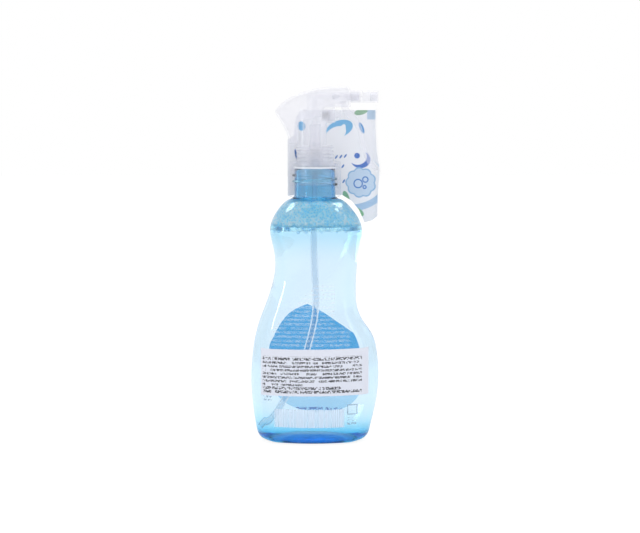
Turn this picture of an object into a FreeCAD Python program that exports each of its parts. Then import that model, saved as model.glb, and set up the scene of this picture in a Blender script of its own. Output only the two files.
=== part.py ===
import FreeCAD, Part
import math
import os

# Lens cleaning spray: a pinched-waist bottle with a small foam trigger sprayer.
# Millimetres, +Z up, origin under the middle of the bottle on the surface it stands on.
# +X is the way the nozzle points, -Y is the side with the back label.

# ---- bottle ----
BASE_CORNER = 7.0          # radius of the rounded foot
WALL = 0.9                 # blown wall thickness
PUNT_HEIGHT = 3.0          # push-up under the base
SHOULDER_TOP = 129.0
NECK_TOP = 145.1
NECK_ROOT_RADIUS = 10.75   # 24 mm neck finish
THREAD_CREST_RADIUS = 11.85
NECK_BORE_RADIUS = 9.0
THREAD_PITCH = 3.175       # 8 threads per inch
THREAD_START = 136.6
FILL_HEIGHT = 113.5
FLUID_GAP = 0.05           # fluid stays this far off the wall

# height, left edge, right edge, half depth, squareness of the section
BODY_RINGS = [
    (8.0, -31.6, 29.6, 19.3, 2.7),
    (18.0, -33.4, 32.4, 20.2, 2.7),
    (30.0, -34.5, 34.4, 20.5, 2.7),
    (42.0, -34.0, 34.0, 20.4, 2.7),
    (53.0, -32.6, 32.5, 20.0, 2.7),
    (58.5, -31.2, 29.9, 19.7, 2.6),
    (62.5, -30.2, 26.6, 19.4, 2.6),
    (67.0, -28.6, 23.8, 19.0, 2.5),
    (72.5, -26.4, 22.0, 18.6, 2.5),
    (80.0, -23.6, 21.7, 18.2, 2.5),
    (90.0, -21.0, 22.1, 18.0, 2.5),
    (99.0, -21.0, 22.7, 18.1, 2.5),
    (107.0, -23.0, 24.4, 18.6, 2.5),
    (113.0, -24.4, 25.5, 18.9, 2.4),
    (118.5, -22.6, 23.6, 18.1, 2.4),
    (123.5, -19.6, 19.9, 16.4, 2.3),
    (127.2, -16.4, 16.7, 14.7, 2.1),
    (SHOULDER_TOP, -13.4, 13.4, 13.0, 2.0),
]
RING_POINTS = 28

# ---- screw collar ----
COLLAR_RADIUS = 13.8
COLLAR_BOTTOM = 130.2
COLLAR_TOP = 148.9
COLLAR_BORE_RADIUS = 12.15
COLLAR_THREAD_RADIUS = 11.05
COLLAR_HOLE_RADIUS = 9.58

# ---- pump body ----
GASKET_HEIGHT = 1.0
FLANGE_RADIUS = 11.4
FLANGE_TOP = 147.5
PLUG_RADIUS = 8.6          # the part of the pump body that goes into the neck
PLUG_BOTTOM = 142.0
RING_RADIUS = 9.8
TIER_RADIUS = 9.5
TIER_TOP = 157.3
STEM_RADIUS = 6.3
SPINDLE_RADIUS = 4.4       # upper part of the stem, inside the hood
STEM_TOP = 184.2
PASSAGE_RADIUS = 3.0
PUMP_HEIGHT = 172.8        # axis of the pump cylinder
PUMP_RADIUS = 3.9
PUMP_BORE_RADIUS = 3.0
PUMP_START = 3.4
PUMP_END = 10.6
BARREL_HEIGHT = 182.5      # axis of the outlet barrel and the nozzle
BARREL_RADIUS = 2.5
BARREL_END = 23.3
BARREL_SOCKET_RADIUS = 1.7
INTAKE_BOTTOM = 139.0
INTAKE_TOP = 168.0
SOCKET_TOP = 151.0         # the suction tube is pushed in up to here
BALL_SEAT = 152.6
BALL_RADIUS = 1.5
SEAT_RADIUS = 1.0
CHAMBER_TOP = 156.15
PIVOT_X = 14.6
PIVOT_HEIGHT = 181.3
PIN_RADIUS = 1.3
PIN_REACH = 5.8

# ---- hood, trigger, nozzle, sleeve ----
HOOD_HALF_WIDTH = 8.0
HOOD_WALL = 1.0
HOOD_FRONT = 18.6
HOOD_SKIRT_RADIUS = 14.1   # the rear skirt is rounded to fit inside the sleeve
HOOD_SKIRT_TOP = 161.8
HOOD_SHIFT = 2.2           # the hood's rear wall is this thick
TRIGGER_HALF_WIDTH = 5.4
TRIGGER_ARM = 1.2
NOZZLE_START = 18.9
NOZZLE_END = 33.2
NOZZLE_SIZE = 6.4
SLEEVE_REAR_RADIUS = 14.45
SLEEVE_FILM = 0.25
SLEEVE_TOP = 178.2
TUBE_RADIUS = 1.6
TUBE_BORE_RADIUS = 1.1
TUBE_CHANNEL_RADIUS = 1.85  # room for the tube in the fluid
LABEL_FILM = 0.12

# ---- label outlines, across and up ----
DROP_OUTLINE = [
    (-3.5, 71.2), (-8.0, 68.6), (-12.6, 64.6), (-17.2, 58.0), (-20.6, 50.6), (-22.8, 42.0),
    (-22.6, 33.0), (-19.8, 24.6), (-14.4, 18.2), (-7.0, 14.4), (2.5, 13.0), (12.0, 14.6),
    (18.6, 19.0), (22.6, 26.0), (24.0, 34.0), (23.6, 42.0), (21.2, 49.5), (15.8, 55.2),
    (10.0, 60.0), (3.2, 66.4),
]
BACK_LABEL_LEFT = [
    (-8.0, 88.0), (-10.0, 86.0), (-16.0, 74.0), (-22.0, 64.0), (-26.5, 56.0), (-28.4, 46.0),
    (-28.6, 30.0), (-27.6, 12.0),
]
BACK_LABEL_RIGHT = [
    (27.0, 12.0), (28.4, 30.0), (28.2, 46.0), (26.0, 56.0), (19.5, 63.0), (14.6, 74.0),
    (12.6, 86.0), (11.0, 88.0),
]
STICKER_BOX = (-28.3, 28.2, 27.1, 51.7)    # left, right, low, high
STICKER_CORNER = 0.8

RUNNING_GAP = 0.05
FIXED_GAP = 0.03
X_AXIS = FreeCAD.Vector(1, 0, 0)
Y_AXIS = FreeCAD.Vector(0, 1, 0)
Z_AXIS = FreeCAD.Vector(0, 0, 1)


def point(x, y, z):
    return FreeCAD.Vector(x, y, z)


def upright(radius, low, high):
    return Part.makeCylinder(radius, high - low, point(0, 0, low), Z_AXIS)


def along_x(radius, start, end, z):
    return Part.makeCylinder(radius, end - start, point(start, 0, z), X_AXIS)


def along_y(radius, half_length, x, z):
    return Part.makeCylinder(radius, 2 * half_length, point(x, -half_length, z), Y_AXIS)


def block(x0, x1, y0, y1, z0, z1):
    return Part.makeBox(x1 - x0, y1 - y0, z1 - z0, point(x0, y0, z0))


def side_plate(edges, half_width):
    """A closed outline in the XZ plane, thickened to both sides of the middle plane."""
    face = Part.Face(Part.Wire(edges))
    face.translate(point(0, -half_width, 0))
    return face.extrude(point(0, 2 * half_width, 0))


def polygon_edges(corners):
    pairs = zip(corners, corners[1:] + corners[:1])
    return [Part.makeLine(start, end) for start, end in pairs]


def curve_through(points):
    curve = Part.BSplineCurve()
    curve.interpolate(points)
    return curve.toShape()


# ---------------------------------------------------------------- bottle
def ring(height, left, right, half_depth, squareness, inset):
    """One closed section of the bottle: a rounded, slightly square oval."""
    middle = (left + right) / 2
    half_width = (right - left) / 2 - inset
    depth = half_depth - inset
    power = 2 / squareness
    points = []
    for step in range(RING_POINTS):
        angle = 2 * math.pi * step / RING_POINTS
        across = math.copysign(abs(math.cos(angle)) ** power, math.cos(angle))
        deep = math.copysign(abs(math.sin(angle)) ** power, math.sin(angle))
        points.append(point(middle + half_width * across, depth * deep, height))
    curve = Part.BSplineCurve()
    curve.interpolate(Points=points, PeriodicFlag=True)
    return Part.Wire([curve.toShape()])


def foot_rings(inset, floor):
    """The rounded foot: the lowest body ring pulled in along a quarter circle."""
    height, left, right, depth, squareness = BODY_RINGS[0]
    corner = BASE_CORNER - inset
    rings = []
    for degrees in (0, 30, 60, 82):
        turn = math.radians(degrees)
        pull = corner * (1 - math.sin(turn))
        rise = floor + corner * (1 - math.cos(turn))
        rings.append(ring(rise, left, right, depth, squareness, inset + pull))
    return rings


def body_loft(inset, top=SHOULDER_TOP):
    """The whole blown shape, as a solid, with every section moved in by inset."""
    floor = max(inset, 0.0)
    rings = foot_rings(inset, floor)
    for height, left, right, depth, squareness in BODY_RINGS[:-1]:
        rings.append(ring(height, left, right, depth, squareness, inset))
    last = BODY_RINGS[-1]
    rings.append(ring(top, last[1], last[2], last[3], last[4], inset))
    return Part.makeLoft(rings, True, False)


def punt(grow):
    """The shallow push-up under the base, made larger all round by grow."""
    low = ring(-1.0, -22.5, 20.5, 11.0, 2.6, -grow)
    middle = ring(1.5 + grow, -18.0, 16.0, 8.6, 2.5, -grow)
    high = ring(PUNT_HEIGHT + grow, -10.0, 8.0, 4.6, 2.2, -grow)
    return Part.makeLoft([low, middle, high], True, False)


def thread_ridge(root, crest, root_width, crest_width, start, turns):
    """A right-hand helical ridge with a trapezoid section, as a solid."""
    helix = Part.makeHelix(THREAD_PITCH, THREAD_PITCH * turns, root)
    helix.translate(point(0, 0, start))
    corners = [
        point(root, 0, start - root_width / 2),
        point(crest, 0, start - crest_width / 2),
        point(crest, 0, start + crest_width / 2),
        point(root, 0, start + root_width / 2),
    ]
    profile = Part.Wire(polygon_edges(corners))
    return Part.Wire(helix.Edges).makePipeShell([profile], True, True)


def make_cavity(inset, top):
    cavity = body_loft(inset, SHOULDER_TOP - WALL).cut(punt(inset))
    mouth = upright(NECK_BORE_RADIUS - (inset - WALL), SHOULDER_TOP - 3, NECK_TOP + 1)
    cavity = cavity.fuse(mouth)
    return cavity.common(block(-60, 60, -60, 60, -1, top))


def make_bottle(outside):
    neck = upright(NECK_ROOT_RADIUS, SHOULDER_TOP - 2, NECK_TOP)
    neck_foot = upright(NECK_ROOT_RADIUS + WALL, SHOULDER_TOP - 2, SHOULDER_TOP + WALL)
    ridge = thread_ridge(NECK_ROOT_RADIUS - 0.2, THREAD_CREST_RADIUS, 1.6, 0.9, THREAD_START, 1.5)
    solid = outside.cut(punt(0.0)).fuse([neck, neck_foot, ridge])
    return solid.cut(make_cavity(WALL, NECK_TOP + 1))


def tube_slot():
    """The part of the fluid that the bent end of the suction tube sweeps as the head rises."""
    outline = [
        point(-1.8, 0, 85.0), point(-2.1, 0, 73.3), point(-9.1, 0, 43.9), point(-21.3, 0, 21.0),
        point(-27.2, 0, 13.7), point(-27.2, 0, 8.4), point(-24.2, 0, 6.2), point(-17.9, 0, 13.8),
        point(-4.7, 0, 37.3), point(2.7, 0, 67.5), point(2.4, 0, 85.0),
    ]
    return side_plate(polygon_edges(outline), TUBE_CHANNEL_RADIUS)


def make_fluid():
    fluid = make_cavity(WALL + FLUID_GAP, FILL_HEIGHT)
    return fluid.cut([dip_path_solid(TUBE_CHANNEL_RADIUS), tube_slot()])


# ---------------------------------------------------------------- labels
def label_prism(edges, side):
    """A closed label outline in XZ, extruded through one side of the bottle."""
    face = Part.Face(Part.Wire(edges))
    return face.extrude(point(0, 60 * side, 0))


def side_points(pairs):
    return [point(across, 0, up) for across, up in pairs]


def drop_edges():
    """The front label: a drop with its tip under the waist."""
    return [curve_through(side_points(DROP_OUTLINE + DROP_OUTLINE[:1]))]


def back_edges():
    """The back label: straight below, with sides that follow the bottle up to its waist."""
    left = side_points(BACK_LABEL_LEFT)
    right = side_points(BACK_LABEL_RIGHT)
    bottom = side_points([BACK_LABEL_LEFT[-1], (-24.5, 9.2), (24.0, 9.2), BACK_LABEL_RIGHT[0]])
    lines = [Part.makeLine(a, b) for a, b in zip(bottom[:-1], bottom[1:])]
    return [curve_through(left)] + lines + [curve_through(right), Part.makeLine(right[-1], left[0])]


def rounded_box_edges(x0, x1, z0, z1, radius):
    inner = radius * (1 - math.sqrt(0.5))
    lines = [
        Part.makeLine(point(x0 + radius, 0, z0), point(x1 - radius, 0, z0)),
        Part.Arc(point(x1 - radius, 0, z0), point(x1 - inner, 0, z0 + inner),
                 point(x1, 0, z0 + radius)).toShape(),
        Part.makeLine(point(x1, 0, z0 + radius), point(x1, 0, z1 - radius)),
        Part.Arc(point(x1, 0, z1 - radius), point(x1 - inner, 0, z1 - inner),
                 point(x1 - radius, 0, z1)).toShape(),
        Part.makeLine(point(x1 - radius, 0, z1), point(x0 + radius, 0, z1)),
        Part.Arc(point(x0 + radius, 0, z1), point(x0 + inner, 0, z1 - inner),
                 point(x0, 0, z1 - radius)).toShape(),
        Part.makeLine(point(x0, 0, z1 - radius), point(x0, 0, z0 + radius)),
        Part.Arc(point(x0, 0, z0 + radius), point(x0 + inner, 0, z0 + inner),
                 point(x0 + radius, 0, z0)).toShape(),
    ]
    return lines


def make_label(edges, side, low_layer, high_layer):
    """A skin between two offsets of the bottle wall, cut to the label outline."""
    return high_layer.cut(low_layer).common(label_prism(edges, side))


# ---------------------------------------------------------------- sprayer
def make_collar():
    collar = upright(COLLAR_RADIUS, COLLAR_BOTTOM, COLLAR_TOP)
    collar = collar.makeFillet(0.8, [collar.Edges[0], collar.Edges[2]])
    collar = collar.cut(upright(COLLAR_BORE_RADIUS, COLLAR_BOTTOM - 1, FLANGE_TOP + RUNNING_GAP))
    collar = collar.cut(upright(COLLAR_HOLE_RADIUS, FLANGE_TOP - 1, COLLAR_TOP + 1))
    ridge = thread_ridge(COLLAR_BORE_RADIUS + 0.2, COLLAR_THREAD_RADIUS, 1.3, 0.6,
                         THREAD_START - 0.5 * THREAD_PITCH, 1.25)
    return collar.fuse(ridge)


def make_gasket():
    washer = upright(FLANGE_RADIUS - 0.2, NECK_TOP, NECK_TOP + GASKET_HEIGHT)
    return washer.cut(upright(NECK_BORE_RADIUS + 0.1, NECK_TOP - 1, NECK_TOP + 2))


def make_pump_body():
    flange_bottom = NECK_TOP + GASKET_HEIGHT
    solid = upright(FLANGE_RADIUS, flange_bottom, FLANGE_TOP)
    solid = solid.fuse([
        upright(PLUG_RADIUS, PLUG_BOTTOM, flange_bottom + 0.5),
        upright(TIER_RADIUS, FLANGE_TOP - 0.5, TIER_TOP),
        upright(10.0, COLLAR_TOP + 0.1, COLLAR_TOP + 0.9),
        upright(RING_RADIUS, 151.6, 152.1),
        upright(RING_RADIUS, 153.6, 154.1),
        upright(RING_RADIUS, 155.6, 156.1),
    ])
    hollow = upright(PLUG_RADIUS - 1, PLUG_BOTTOM - 1, TIER_TOP - 1.4)
    hollow = hollow.cut(upright(4.6, PLUG_BOTTOM - 2, TIER_TOP))
    solid = solid.cut(hollow)
    head = upright(STEM_RADIUS, TIER_TOP - 1, 176.0)
    head = head.fuse([
        upright(SPINDLE_RADIUS, 175.0, STEM_TOP),
        along_x(PUMP_RADIUS, 0.0, PUMP_END, PUMP_HEIGHT),
        along_x(BARREL_RADIUS, 0.0, BARREL_END, BARREL_HEIGHT),
        block(0.0, PUMP_END, -1.2, 1.2, PUMP_HEIGHT, BARREL_HEIGHT),
        block(PUMP_END - 1, PIVOT_X, -1.2, 1.2, PIVOT_HEIGHT - 2.6, BARREL_HEIGHT),
        along_y(PIN_RADIUS, PIN_REACH, PIVOT_X, PIVOT_HEIGHT),
        along_y(2.3, 3.9, PIVOT_X, PIVOT_HEIGHT),
    ])
    solid = solid.fuse(head)
    solid = solid.cut(upright(PASSAGE_RADIUS, PLUG_BOTTOM - 2, INTAKE_TOP + 0.2))
    solid = solid.cut(upright(1.4, INTAKE_TOP, BARREL_HEIGHT))
    solid = solid.cut(along_x(PUMP_BORE_RADIUS, PUMP_START, PUMP_END + 1, PUMP_HEIGHT))
    solid = solid.cut(along_x(0.9, 0.0, PUMP_START + 0.2, PUMP_HEIGHT))
    solid = solid.cut(along_x(1.1, 0.0, BARREL_END, BARREL_HEIGHT))
    return solid.cut(along_x(BARREL_SOCKET_RADIUS, 9.0, BARREL_END + 1, BARREL_HEIGHT))


def hood_profile():
    roof = curve_through([
        point(-20.9, 0, 175.4), point(-16.7, 0, 179.7), point(-8.1, 0, 184.2),
        point(0.5, 0, 186.6), point(8.0, 0, 187.5), point(17.2, 0, 188.0),
    ])
    corners = [
        point(17.2, 0, 188.0), point(HOOD_FRONT, 0, 186.4), point(HOOD_FRONT, 0, 177.1),
        point(5.6, 0, 177.1), point(-1.5, 0, 170.8), point(-8.3, 0, 169.6),
        point(-9.0, 0, 158.0), point(-13.6, 0, 158.0), point(-14.4, 0, 163.3),
        point(-18.4, 0, 170.2),
    ]
    edges = [Part.makeLine(a, b) for a, b in zip(corners[:-1], corners[1:])]
    tail = Part.Arc(corners[-1], point(-21.0, 0, 174.3), point(-20.9, 0, 175.4)).toShape()
    return [roof] + edges + [tail]


def hood_plan(inset, low, high):
    """The hood from above: round at the tail, parallel, then narrower at the nozzle."""
    tail = -21.3 + inset
    wide = HOOD_HALF_WIDTH - inset
    narrow = 7.2 - inset
    front = HOOD_FRONT - 1.2 * inset
    corners = [point(-12.0, -wide, low), point(8.0, -wide, low), point(front, -narrow, low),
               point(front, narrow, low), point(8.0, wide, low), point(-12.0, wide, low)]
    edges = [Part.makeLine(a, b) for a, b in zip(corners[:-1], corners[1:])]
    edges.append(Part.Arc(corners[-1], point(tail, 0, low), corners[0]).toShape())
    return Part.Face(Part.Wire(edges)).extrude(point(0, 0, high - low))


def hood_room(inset):
    """Everything the hood may fill: its plan shape, and a round skirt below the sleeve's edge."""
    room = hood_plan(inset, 150, 195)
    skirt = upright(HOOD_SKIRT_RADIUS - inset, 150, HOOD_SKIRT_TOP)
    above = block(-40, 40, -40, 40, HOOD_SKIRT_TOP, 200)
    return room.common(skirt.fuse(above))


def make_hood():
    outside = side_plate(hood_profile(), 20).common(hood_room(0.0))
    cavity = side_plate(hood_profile(), 20)
    cavity.translate(point(HOOD_SHIFT, 0, -HOOD_WALL - 0.1))
    hood = outside.cut(cavity.common(hood_room(HOOD_WALL)))
    rib = block(-2.0, 12.0, -0.6, 0.6, BARREL_HEIGHT, 187.0)
    hood = hood.fuse(rib.common(outside))
    return hood.cut([
        upright(SPINDLE_RADIUS + RUNNING_GAP, 170, STEM_TOP + RUNNING_GAP),
        along_x(BARREL_RADIUS + RUNNING_GAP, -1.0, 20.0, BARREL_HEIGHT),
    ])


def make_trigger():
    front = curve_through([
        point(16.6, 0, 178.4), point(18.2, 0, 175.9), point(22.2, 0, 171.4),
        point(24.9, 0, 165.4), point(26.9, 0, 156.6), point(29.6, 0, 149.8),
        point(33.0, 0, 145.6),
    ])
    tip = Part.Arc(point(33.0, 0, 145.6), point(33.0, 0, 143.9), point(31.4, 0, 143.8)).toShape()
    back = curve_through([
        point(31.4, 0, 143.8), point(27.2, 0, 148.4), point(24.4, 0, 155.8),
        point(22.3, 0, 164.4), point(19.6, 0, 169.4), point(15.6, 0, 173.0),
        point(12.9, 0, 178.4),
    ])
    neck = Part.makeLine(point(12.9, 0, 178.4), point(16.6, 0, 178.4))
    lever = side_plate([front, tip, back, neck], TRIGGER_HALF_WIDTH)
    lever = lever.fuse([
        block(12.9, 16.6, -TRIGGER_HALF_WIDTH, TRIGGER_HALF_WIDTH, 178.2, PIVOT_HEIGHT),
        along_y(2.3, TRIGGER_HALF_WIDTH, PIVOT_X, PIVOT_HEIGHT),
    ])
    half_gap = TRIGGER_HALF_WIDTH - TRIGGER_ARM
    lever = lever.cut(block(8, 40, -half_gap, half_gap, 174.6, 190))
    lever = lever.cut(block(8, 17.2, -half_gap, half_gap, 170, 190))
    lever = lever.fuse([
        block(PIVOT_X, 19.0, -1.6, 1.6, PUMP_HEIGHT - 0.9, PUMP_HEIGHT + 0.9),
        along_y(0.9, 1.6, PIVOT_X, PUMP_HEIGHT),
    ])
    taper = [point(0, -6.0, 190), point(0, -TRIGGER_HALF_WIDTH, 172), point(0, -2.6, 143),
             point(0, 2.6, 143), point(0, TRIGGER_HALF_WIDTH, 172), point(0, 6.0, 190)]
    lever = lever.common(Part.Face(Part.Wire(polygon_edges(taper))).extrude(point(60, 0, 0)))
    return lever.cut(along_y(PIN_RADIUS + RUNNING_GAP, 10, PIVOT_X, PIVOT_HEIGHT))


def make_piston():
    """Cup-shaped plunger: seal lip inside the bore, flange against the trigger."""
    front = PIVOT_X - 0.9 - RUNNING_GAP
    solid = along_x(2.6, 6.8, 9.2, PUMP_HEIGHT)
    solid = solid.fuse([
        along_x(PUMP_BORE_RADIUS - RUNNING_GAP, 6.8, 7.5, PUMP_HEIGHT),
        along_x(PUMP_BORE_RADIUS - RUNNING_GAP, 8.5, 9.2, PUMP_HEIGHT),
        along_x(1.6, 9.0, front, PUMP_HEIGHT),
        along_x(2.4, front - 0.9, front, PUMP_HEIGHT),
    ])
    return solid.cut(along_x(2.3, 6.0, 8.2, PUMP_HEIGHT))


def make_return_spring():
    """Open coil, its wire drawn with eight flats."""
    wire_radius = 0.24
    coil_radius = 1.9
    pitch = 1.2
    length = 4.2
    helix = Part.makeHelix(pitch, length, coil_radius)
    corners = []
    for step in range(8):
        angle = math.pi * (step + 0.5) / 4
        corners.append(point(coil_radius + wire_radius * math.cos(angle), 0,
                             wire_radius * math.sin(angle)))
    profile = Part.Wire(polygon_edges(corners))
    spring = Part.Wire(helix.Edges).makePipeShell([profile], True, True)
    spring.rotate(point(0, 0, 0), Y_AXIS, 90)
    spring.translate(point(PUMP_START + wire_radius + 0.1, 0, PUMP_HEIGHT))
    return spring


def make_outlet_valve():
    stem = along_x(BARREL_SOCKET_RADIUS - 0.05, 9.1, 10.4, BARREL_HEIGHT)
    nose = Part.makeCone(1.5, 0.5, 2.4, point(10.4, 0, BARREL_HEIGHT), X_AXIS)
    return stem.fuse(nose).cut(along_x(0.35, 9.0, 12.0, BARREL_HEIGHT))


def make_swirl_core():
    core = along_x(BARREL_SOCKET_RADIUS - 0.05, 15.0, BARREL_END - 0.1, BARREL_HEIGHT)
    for angle in (0, 120, 240):
        groove = block(14.0, BARREL_END, -0.3, 0.3, 1.1, 2.0)
        groove.rotate(point(0, 0, 0), X_AXIS, angle)
        groove.translate(point(0, 0, BARREL_HEIGHT))
        core = core.cut(groove)
    return core


def make_nozzle_cap():
    half = NOZZLE_SIZE / 2
    cap = block(NOZZLE_START, NOZZLE_END, -half, half, BARREL_HEIGHT - half, BARREL_HEIGHT + half)
    long_edges = [edge for edge in cap.Edges if abs(edge.tangentAt(0).x) > 0.9]
    cap = cap.makeFillet(1.3, long_edges)
    cap = cap.cut(along_x(BARREL_RADIUS + RUNNING_GAP, NOZZLE_START - 1, 23.9, BARREL_HEIGHT))
    cap = cap.cut(along_x(0.4, 23.0, 26.0, BARREL_HEIGHT))
    cap = cap.cut(along_x(2.3, 25.0, NOZZLE_END + 1, BARREL_HEIGHT))
    air_holes = along_y(0.5, 10, 26.4, BARREL_HEIGHT)
    return cap.cut(air_holes)


def make_foam_screen():
    """Woven mesh disc, drawn as crossed bars inside a rim."""
    rim = along_x(2.25, 29.0, 29.4, BARREL_HEIGHT).cut(along_x(1.9, 28.0, 30.0, BARREL_HEIGHT))
    bars = []
    for offset in (-1.2, -0.6, 0.0, 0.6, 1.2):
        bars.append(block(29.05, 29.2, -2.0, 2.0, offset - 0.1, offset + 0.1))
        bars.append(block(29.2, 29.35, offset - 0.1, offset + 0.1, -2.0, 2.0))
    grid = bars[0].fuse(bars[1:])
    grid.translate(point(0, 0, BARREL_HEIGHT))
    return rim.fuse(grid.common(along_x(2.0, 28.0, 30.0, BARREL_HEIGHT)))


def make_foam_ring():
    ring_solid = along_x(2.25, 29.45, 32.7, BARREL_HEIGHT)
    return ring_solid.cut(along_x(1.6, 29.0, 33.0, BARREL_HEIGHT))


# ---------------------------------------------------------------- intake
def dip_route():
    """The suction tube: straight from its socket, then a long bend to the low left corner."""
    return [point(0, 0, SOCKET_TOP), point(0, 0, 137.5), point(-0.6, 0, 108.0), point(0.8, 0, 68.0),
            point(-6.5, 0, 38.0), point(-19.5, 0, 15.0), point(-25.6, 0, 7.6)]


def route_edges(corners):
    """Straight runs joined by tangent arcs, each as large as its two runs allow."""
    edges = []
    start = corners[0]
    for before, corner, after in zip(corners, corners[1:], corners[2:]):
        arriving = (corner - before).normalize()
        leaving = (after - corner).normalize()
        turn = arriving.getAngle(leaving)
        shorter = min((corner - before).Length, (after - corner).Length)
        reach = 0.45 * shorter
        radius = reach / math.tan(turn / 2)
        arc_start = corner - arriving * reach
        arc_end = corner + leaving * reach
        inward = (leaving - arriving).normalize()
        middle = corner + inward * (radius / math.cos(turn / 2) - radius)
        edges.append(Part.makeLine(start, arc_start))
        edges.append(Part.Arc(arc_start, middle, arc_end).toShape())
        start = arc_end
    edges.append(Part.makeLine(start, corners[-1]))
    return edges


def dip_path_solid(radius):
    route = dip_route()
    path = Part.Wire(route_edges(route))
    direction = route[1] - route[0]
    section = Part.Wire([Part.makeCircle(radius, route[0], direction)])
    return path.makePipeShell([section], True, True)


def make_dip_tube():
    return dip_path_solid(TUBE_RADIUS).cut(dip_path_solid(TUBE_BORE_RADIUS))


def make_intake_tube():
    """Insert with the dip tube socket below and the ball chamber above."""
    tube = upright(PASSAGE_RADIUS - FIXED_GAP, INTAKE_BOTTOM, INTAKE_TOP)
    tube = tube.cut(upright(TUBE_RADIUS + FIXED_GAP, INTAKE_BOTTOM - 1, SOCKET_TOP + 0.2))
    tube = tube.cut(upright(SEAT_RADIUS, SOCKET_TOP, BALL_SEAT + 0.4))
    tube = tube.cut(upright(BALL_RADIUS + 0.12, BALL_SEAT, CHAMBER_TOP))
    return tube.cut(upright(1.1, CHAMBER_TOP - 0.15, INTAKE_TOP + 1))


def make_intake_ball():
    centre = BALL_SEAT + math.sqrt(BALL_RADIUS ** 2 - SEAT_RADIUS ** 2) + 0.04
    return Part.makeSphere(BALL_RADIUS, point(0, 0, centre))


# ---------------------------------------------------------------- sleeve
def belt_wire(height, rear_radius, reach, front_radius):
    """A loop of film pulled round two posts: the neck, and the trigger's front."""
    centre = reach - front_radius
    turn = math.acos((rear_radius - front_radius) / centre)
    rear_x, rear_y = rear_radius * math.cos(turn), rear_radius * math.sin(turn)
    front_x = centre + front_radius * math.cos(turn)
    front_y = front_radius * math.sin(turn)
    corners = [point(rear_x, rear_y, height), point(rear_x, -rear_y, height),
               point(front_x, -front_y, height), point(front_x, front_y, height)]
    return Part.Wire([
        Part.Arc(corners[0], point(-rear_radius, 0, height), corners[1]).toShape(),
        Part.makeLine(corners[1], corners[2]),
        Part.Arc(corners[2], point(reach, 0, height), corners[3]).toShape(),
        Part.makeLine(corners[3], corners[0]),
    ])


def sleeve_loft(inset):
    # height, reach of the front fold, radius of the front fold
    levels = [(112.0, 33.2, 4.6), (130.0, 33.6, 5.0), (144.8, 34.5, 5.6),
              (154.0, 33.0, 5.0), (166.0, 32.3, 4.7), (182.0, 32.2, 4.6)]
    wires = [belt_wire(height, SLEEVE_REAR_RADIUS - inset, reach - inset, radius - inset)
             for height, reach, radius in levels]
    return Part.makeLoft(wires, True, True)


def make_sleeve():
    film = sleeve_loft(0.0).cut(sleeve_loft(SLEEVE_FILM))
    outline = [
        point(-16, 0, 130.4), point(14.5, 0, 130.4), point(19.5, 0, 127.4),
        point(23.5, 0, 122.6), point(26.4, 0, 116.0), point(30.5, 0, 117.2), point(36, 0, 122.4),
        point(36, 0, SLEEVE_TOP), point(-5.5, 0, SLEEVE_TOP), point(-10.0, 0, 172.0),
        point(-11.4, 0, 162.0), point(-16, 0, 159.0),
    ]
    return film.common(side_plate(polygon_edges(outline), 40))


# ---------------------------------------------------------------- assembly
def build_nodes():
    outside = body_loft(0.0)
    label_layer = body_loft(-LABEL_FILM)
    sticker_layer = body_loft(-2 * LABEL_FILM)
    sticker_edges = rounded_box_edges(*STICKER_BOX, STICKER_CORNER)
    return {
        "bottle": make_bottle(outside),
        "cleaning_fluid": make_fluid(),
        "front_label": make_label(drop_edges(), 1, outside, label_layer),
        "back_label": make_label(back_edges(), -1, outside, label_layer),
        "importer_sticker": make_label(sticker_edges, -1, label_layer, sticker_layer),
        "screw_collar": make_collar(),
        "neck_gasket": make_gasket(),
        "pump_body": make_pump_body(),
        "hood": make_hood(),
        "intake_tube": make_intake_tube(),
        "intake_ball": make_intake_ball(),
        "dip_tube": make_dip_tube(),
        "trigger": make_trigger(),
        "piston": make_piston(),
        "return_spring": make_return_spring(),
        "outlet_valve": make_outlet_valve(),
        "swirl_core": make_swirl_core(),
        "nozzle_cap": make_nozzle_cap(),
        "foam_screen": make_foam_screen(),
        "foam_ring": make_foam_ring(),
        "display_sleeve": make_sleeve(),
    }


os.makedirs("parts", exist_ok=True)
for node, shape in build_nodes().items():
    if len(shape.Solids) == 1:
        shape = shape.Solids[0]
    box = shape.BoundBox
    print(f"{node:18s} solids {len(shape.Solids)} valid {shape.isValid()} "
          f"volume {shape.Volume:10.1f} x {box.XMin:.2f}..{box.XMax:.2f} "
          f"y {box.YMin:.2f}..{box.YMax:.2f} z {box.ZMin:.2f}..{box.ZMax:.2f}")
    shape.exportStep(f"parts/{node}.step")
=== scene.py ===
import bmesh
import bpy
import math
import random
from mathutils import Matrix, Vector


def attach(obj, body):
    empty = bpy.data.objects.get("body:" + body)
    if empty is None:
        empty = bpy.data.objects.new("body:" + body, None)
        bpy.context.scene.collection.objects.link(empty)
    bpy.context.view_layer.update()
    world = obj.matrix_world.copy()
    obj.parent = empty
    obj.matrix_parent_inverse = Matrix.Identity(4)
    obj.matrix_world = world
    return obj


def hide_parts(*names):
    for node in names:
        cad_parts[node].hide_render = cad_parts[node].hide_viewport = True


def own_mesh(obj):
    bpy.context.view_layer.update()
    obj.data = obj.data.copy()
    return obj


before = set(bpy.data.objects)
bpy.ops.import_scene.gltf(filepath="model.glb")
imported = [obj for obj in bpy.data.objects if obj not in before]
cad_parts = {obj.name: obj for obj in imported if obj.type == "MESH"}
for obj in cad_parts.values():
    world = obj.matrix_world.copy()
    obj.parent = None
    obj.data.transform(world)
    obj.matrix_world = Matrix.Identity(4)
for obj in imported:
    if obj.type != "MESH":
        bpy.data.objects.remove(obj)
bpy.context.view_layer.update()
MM = 0.001


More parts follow.
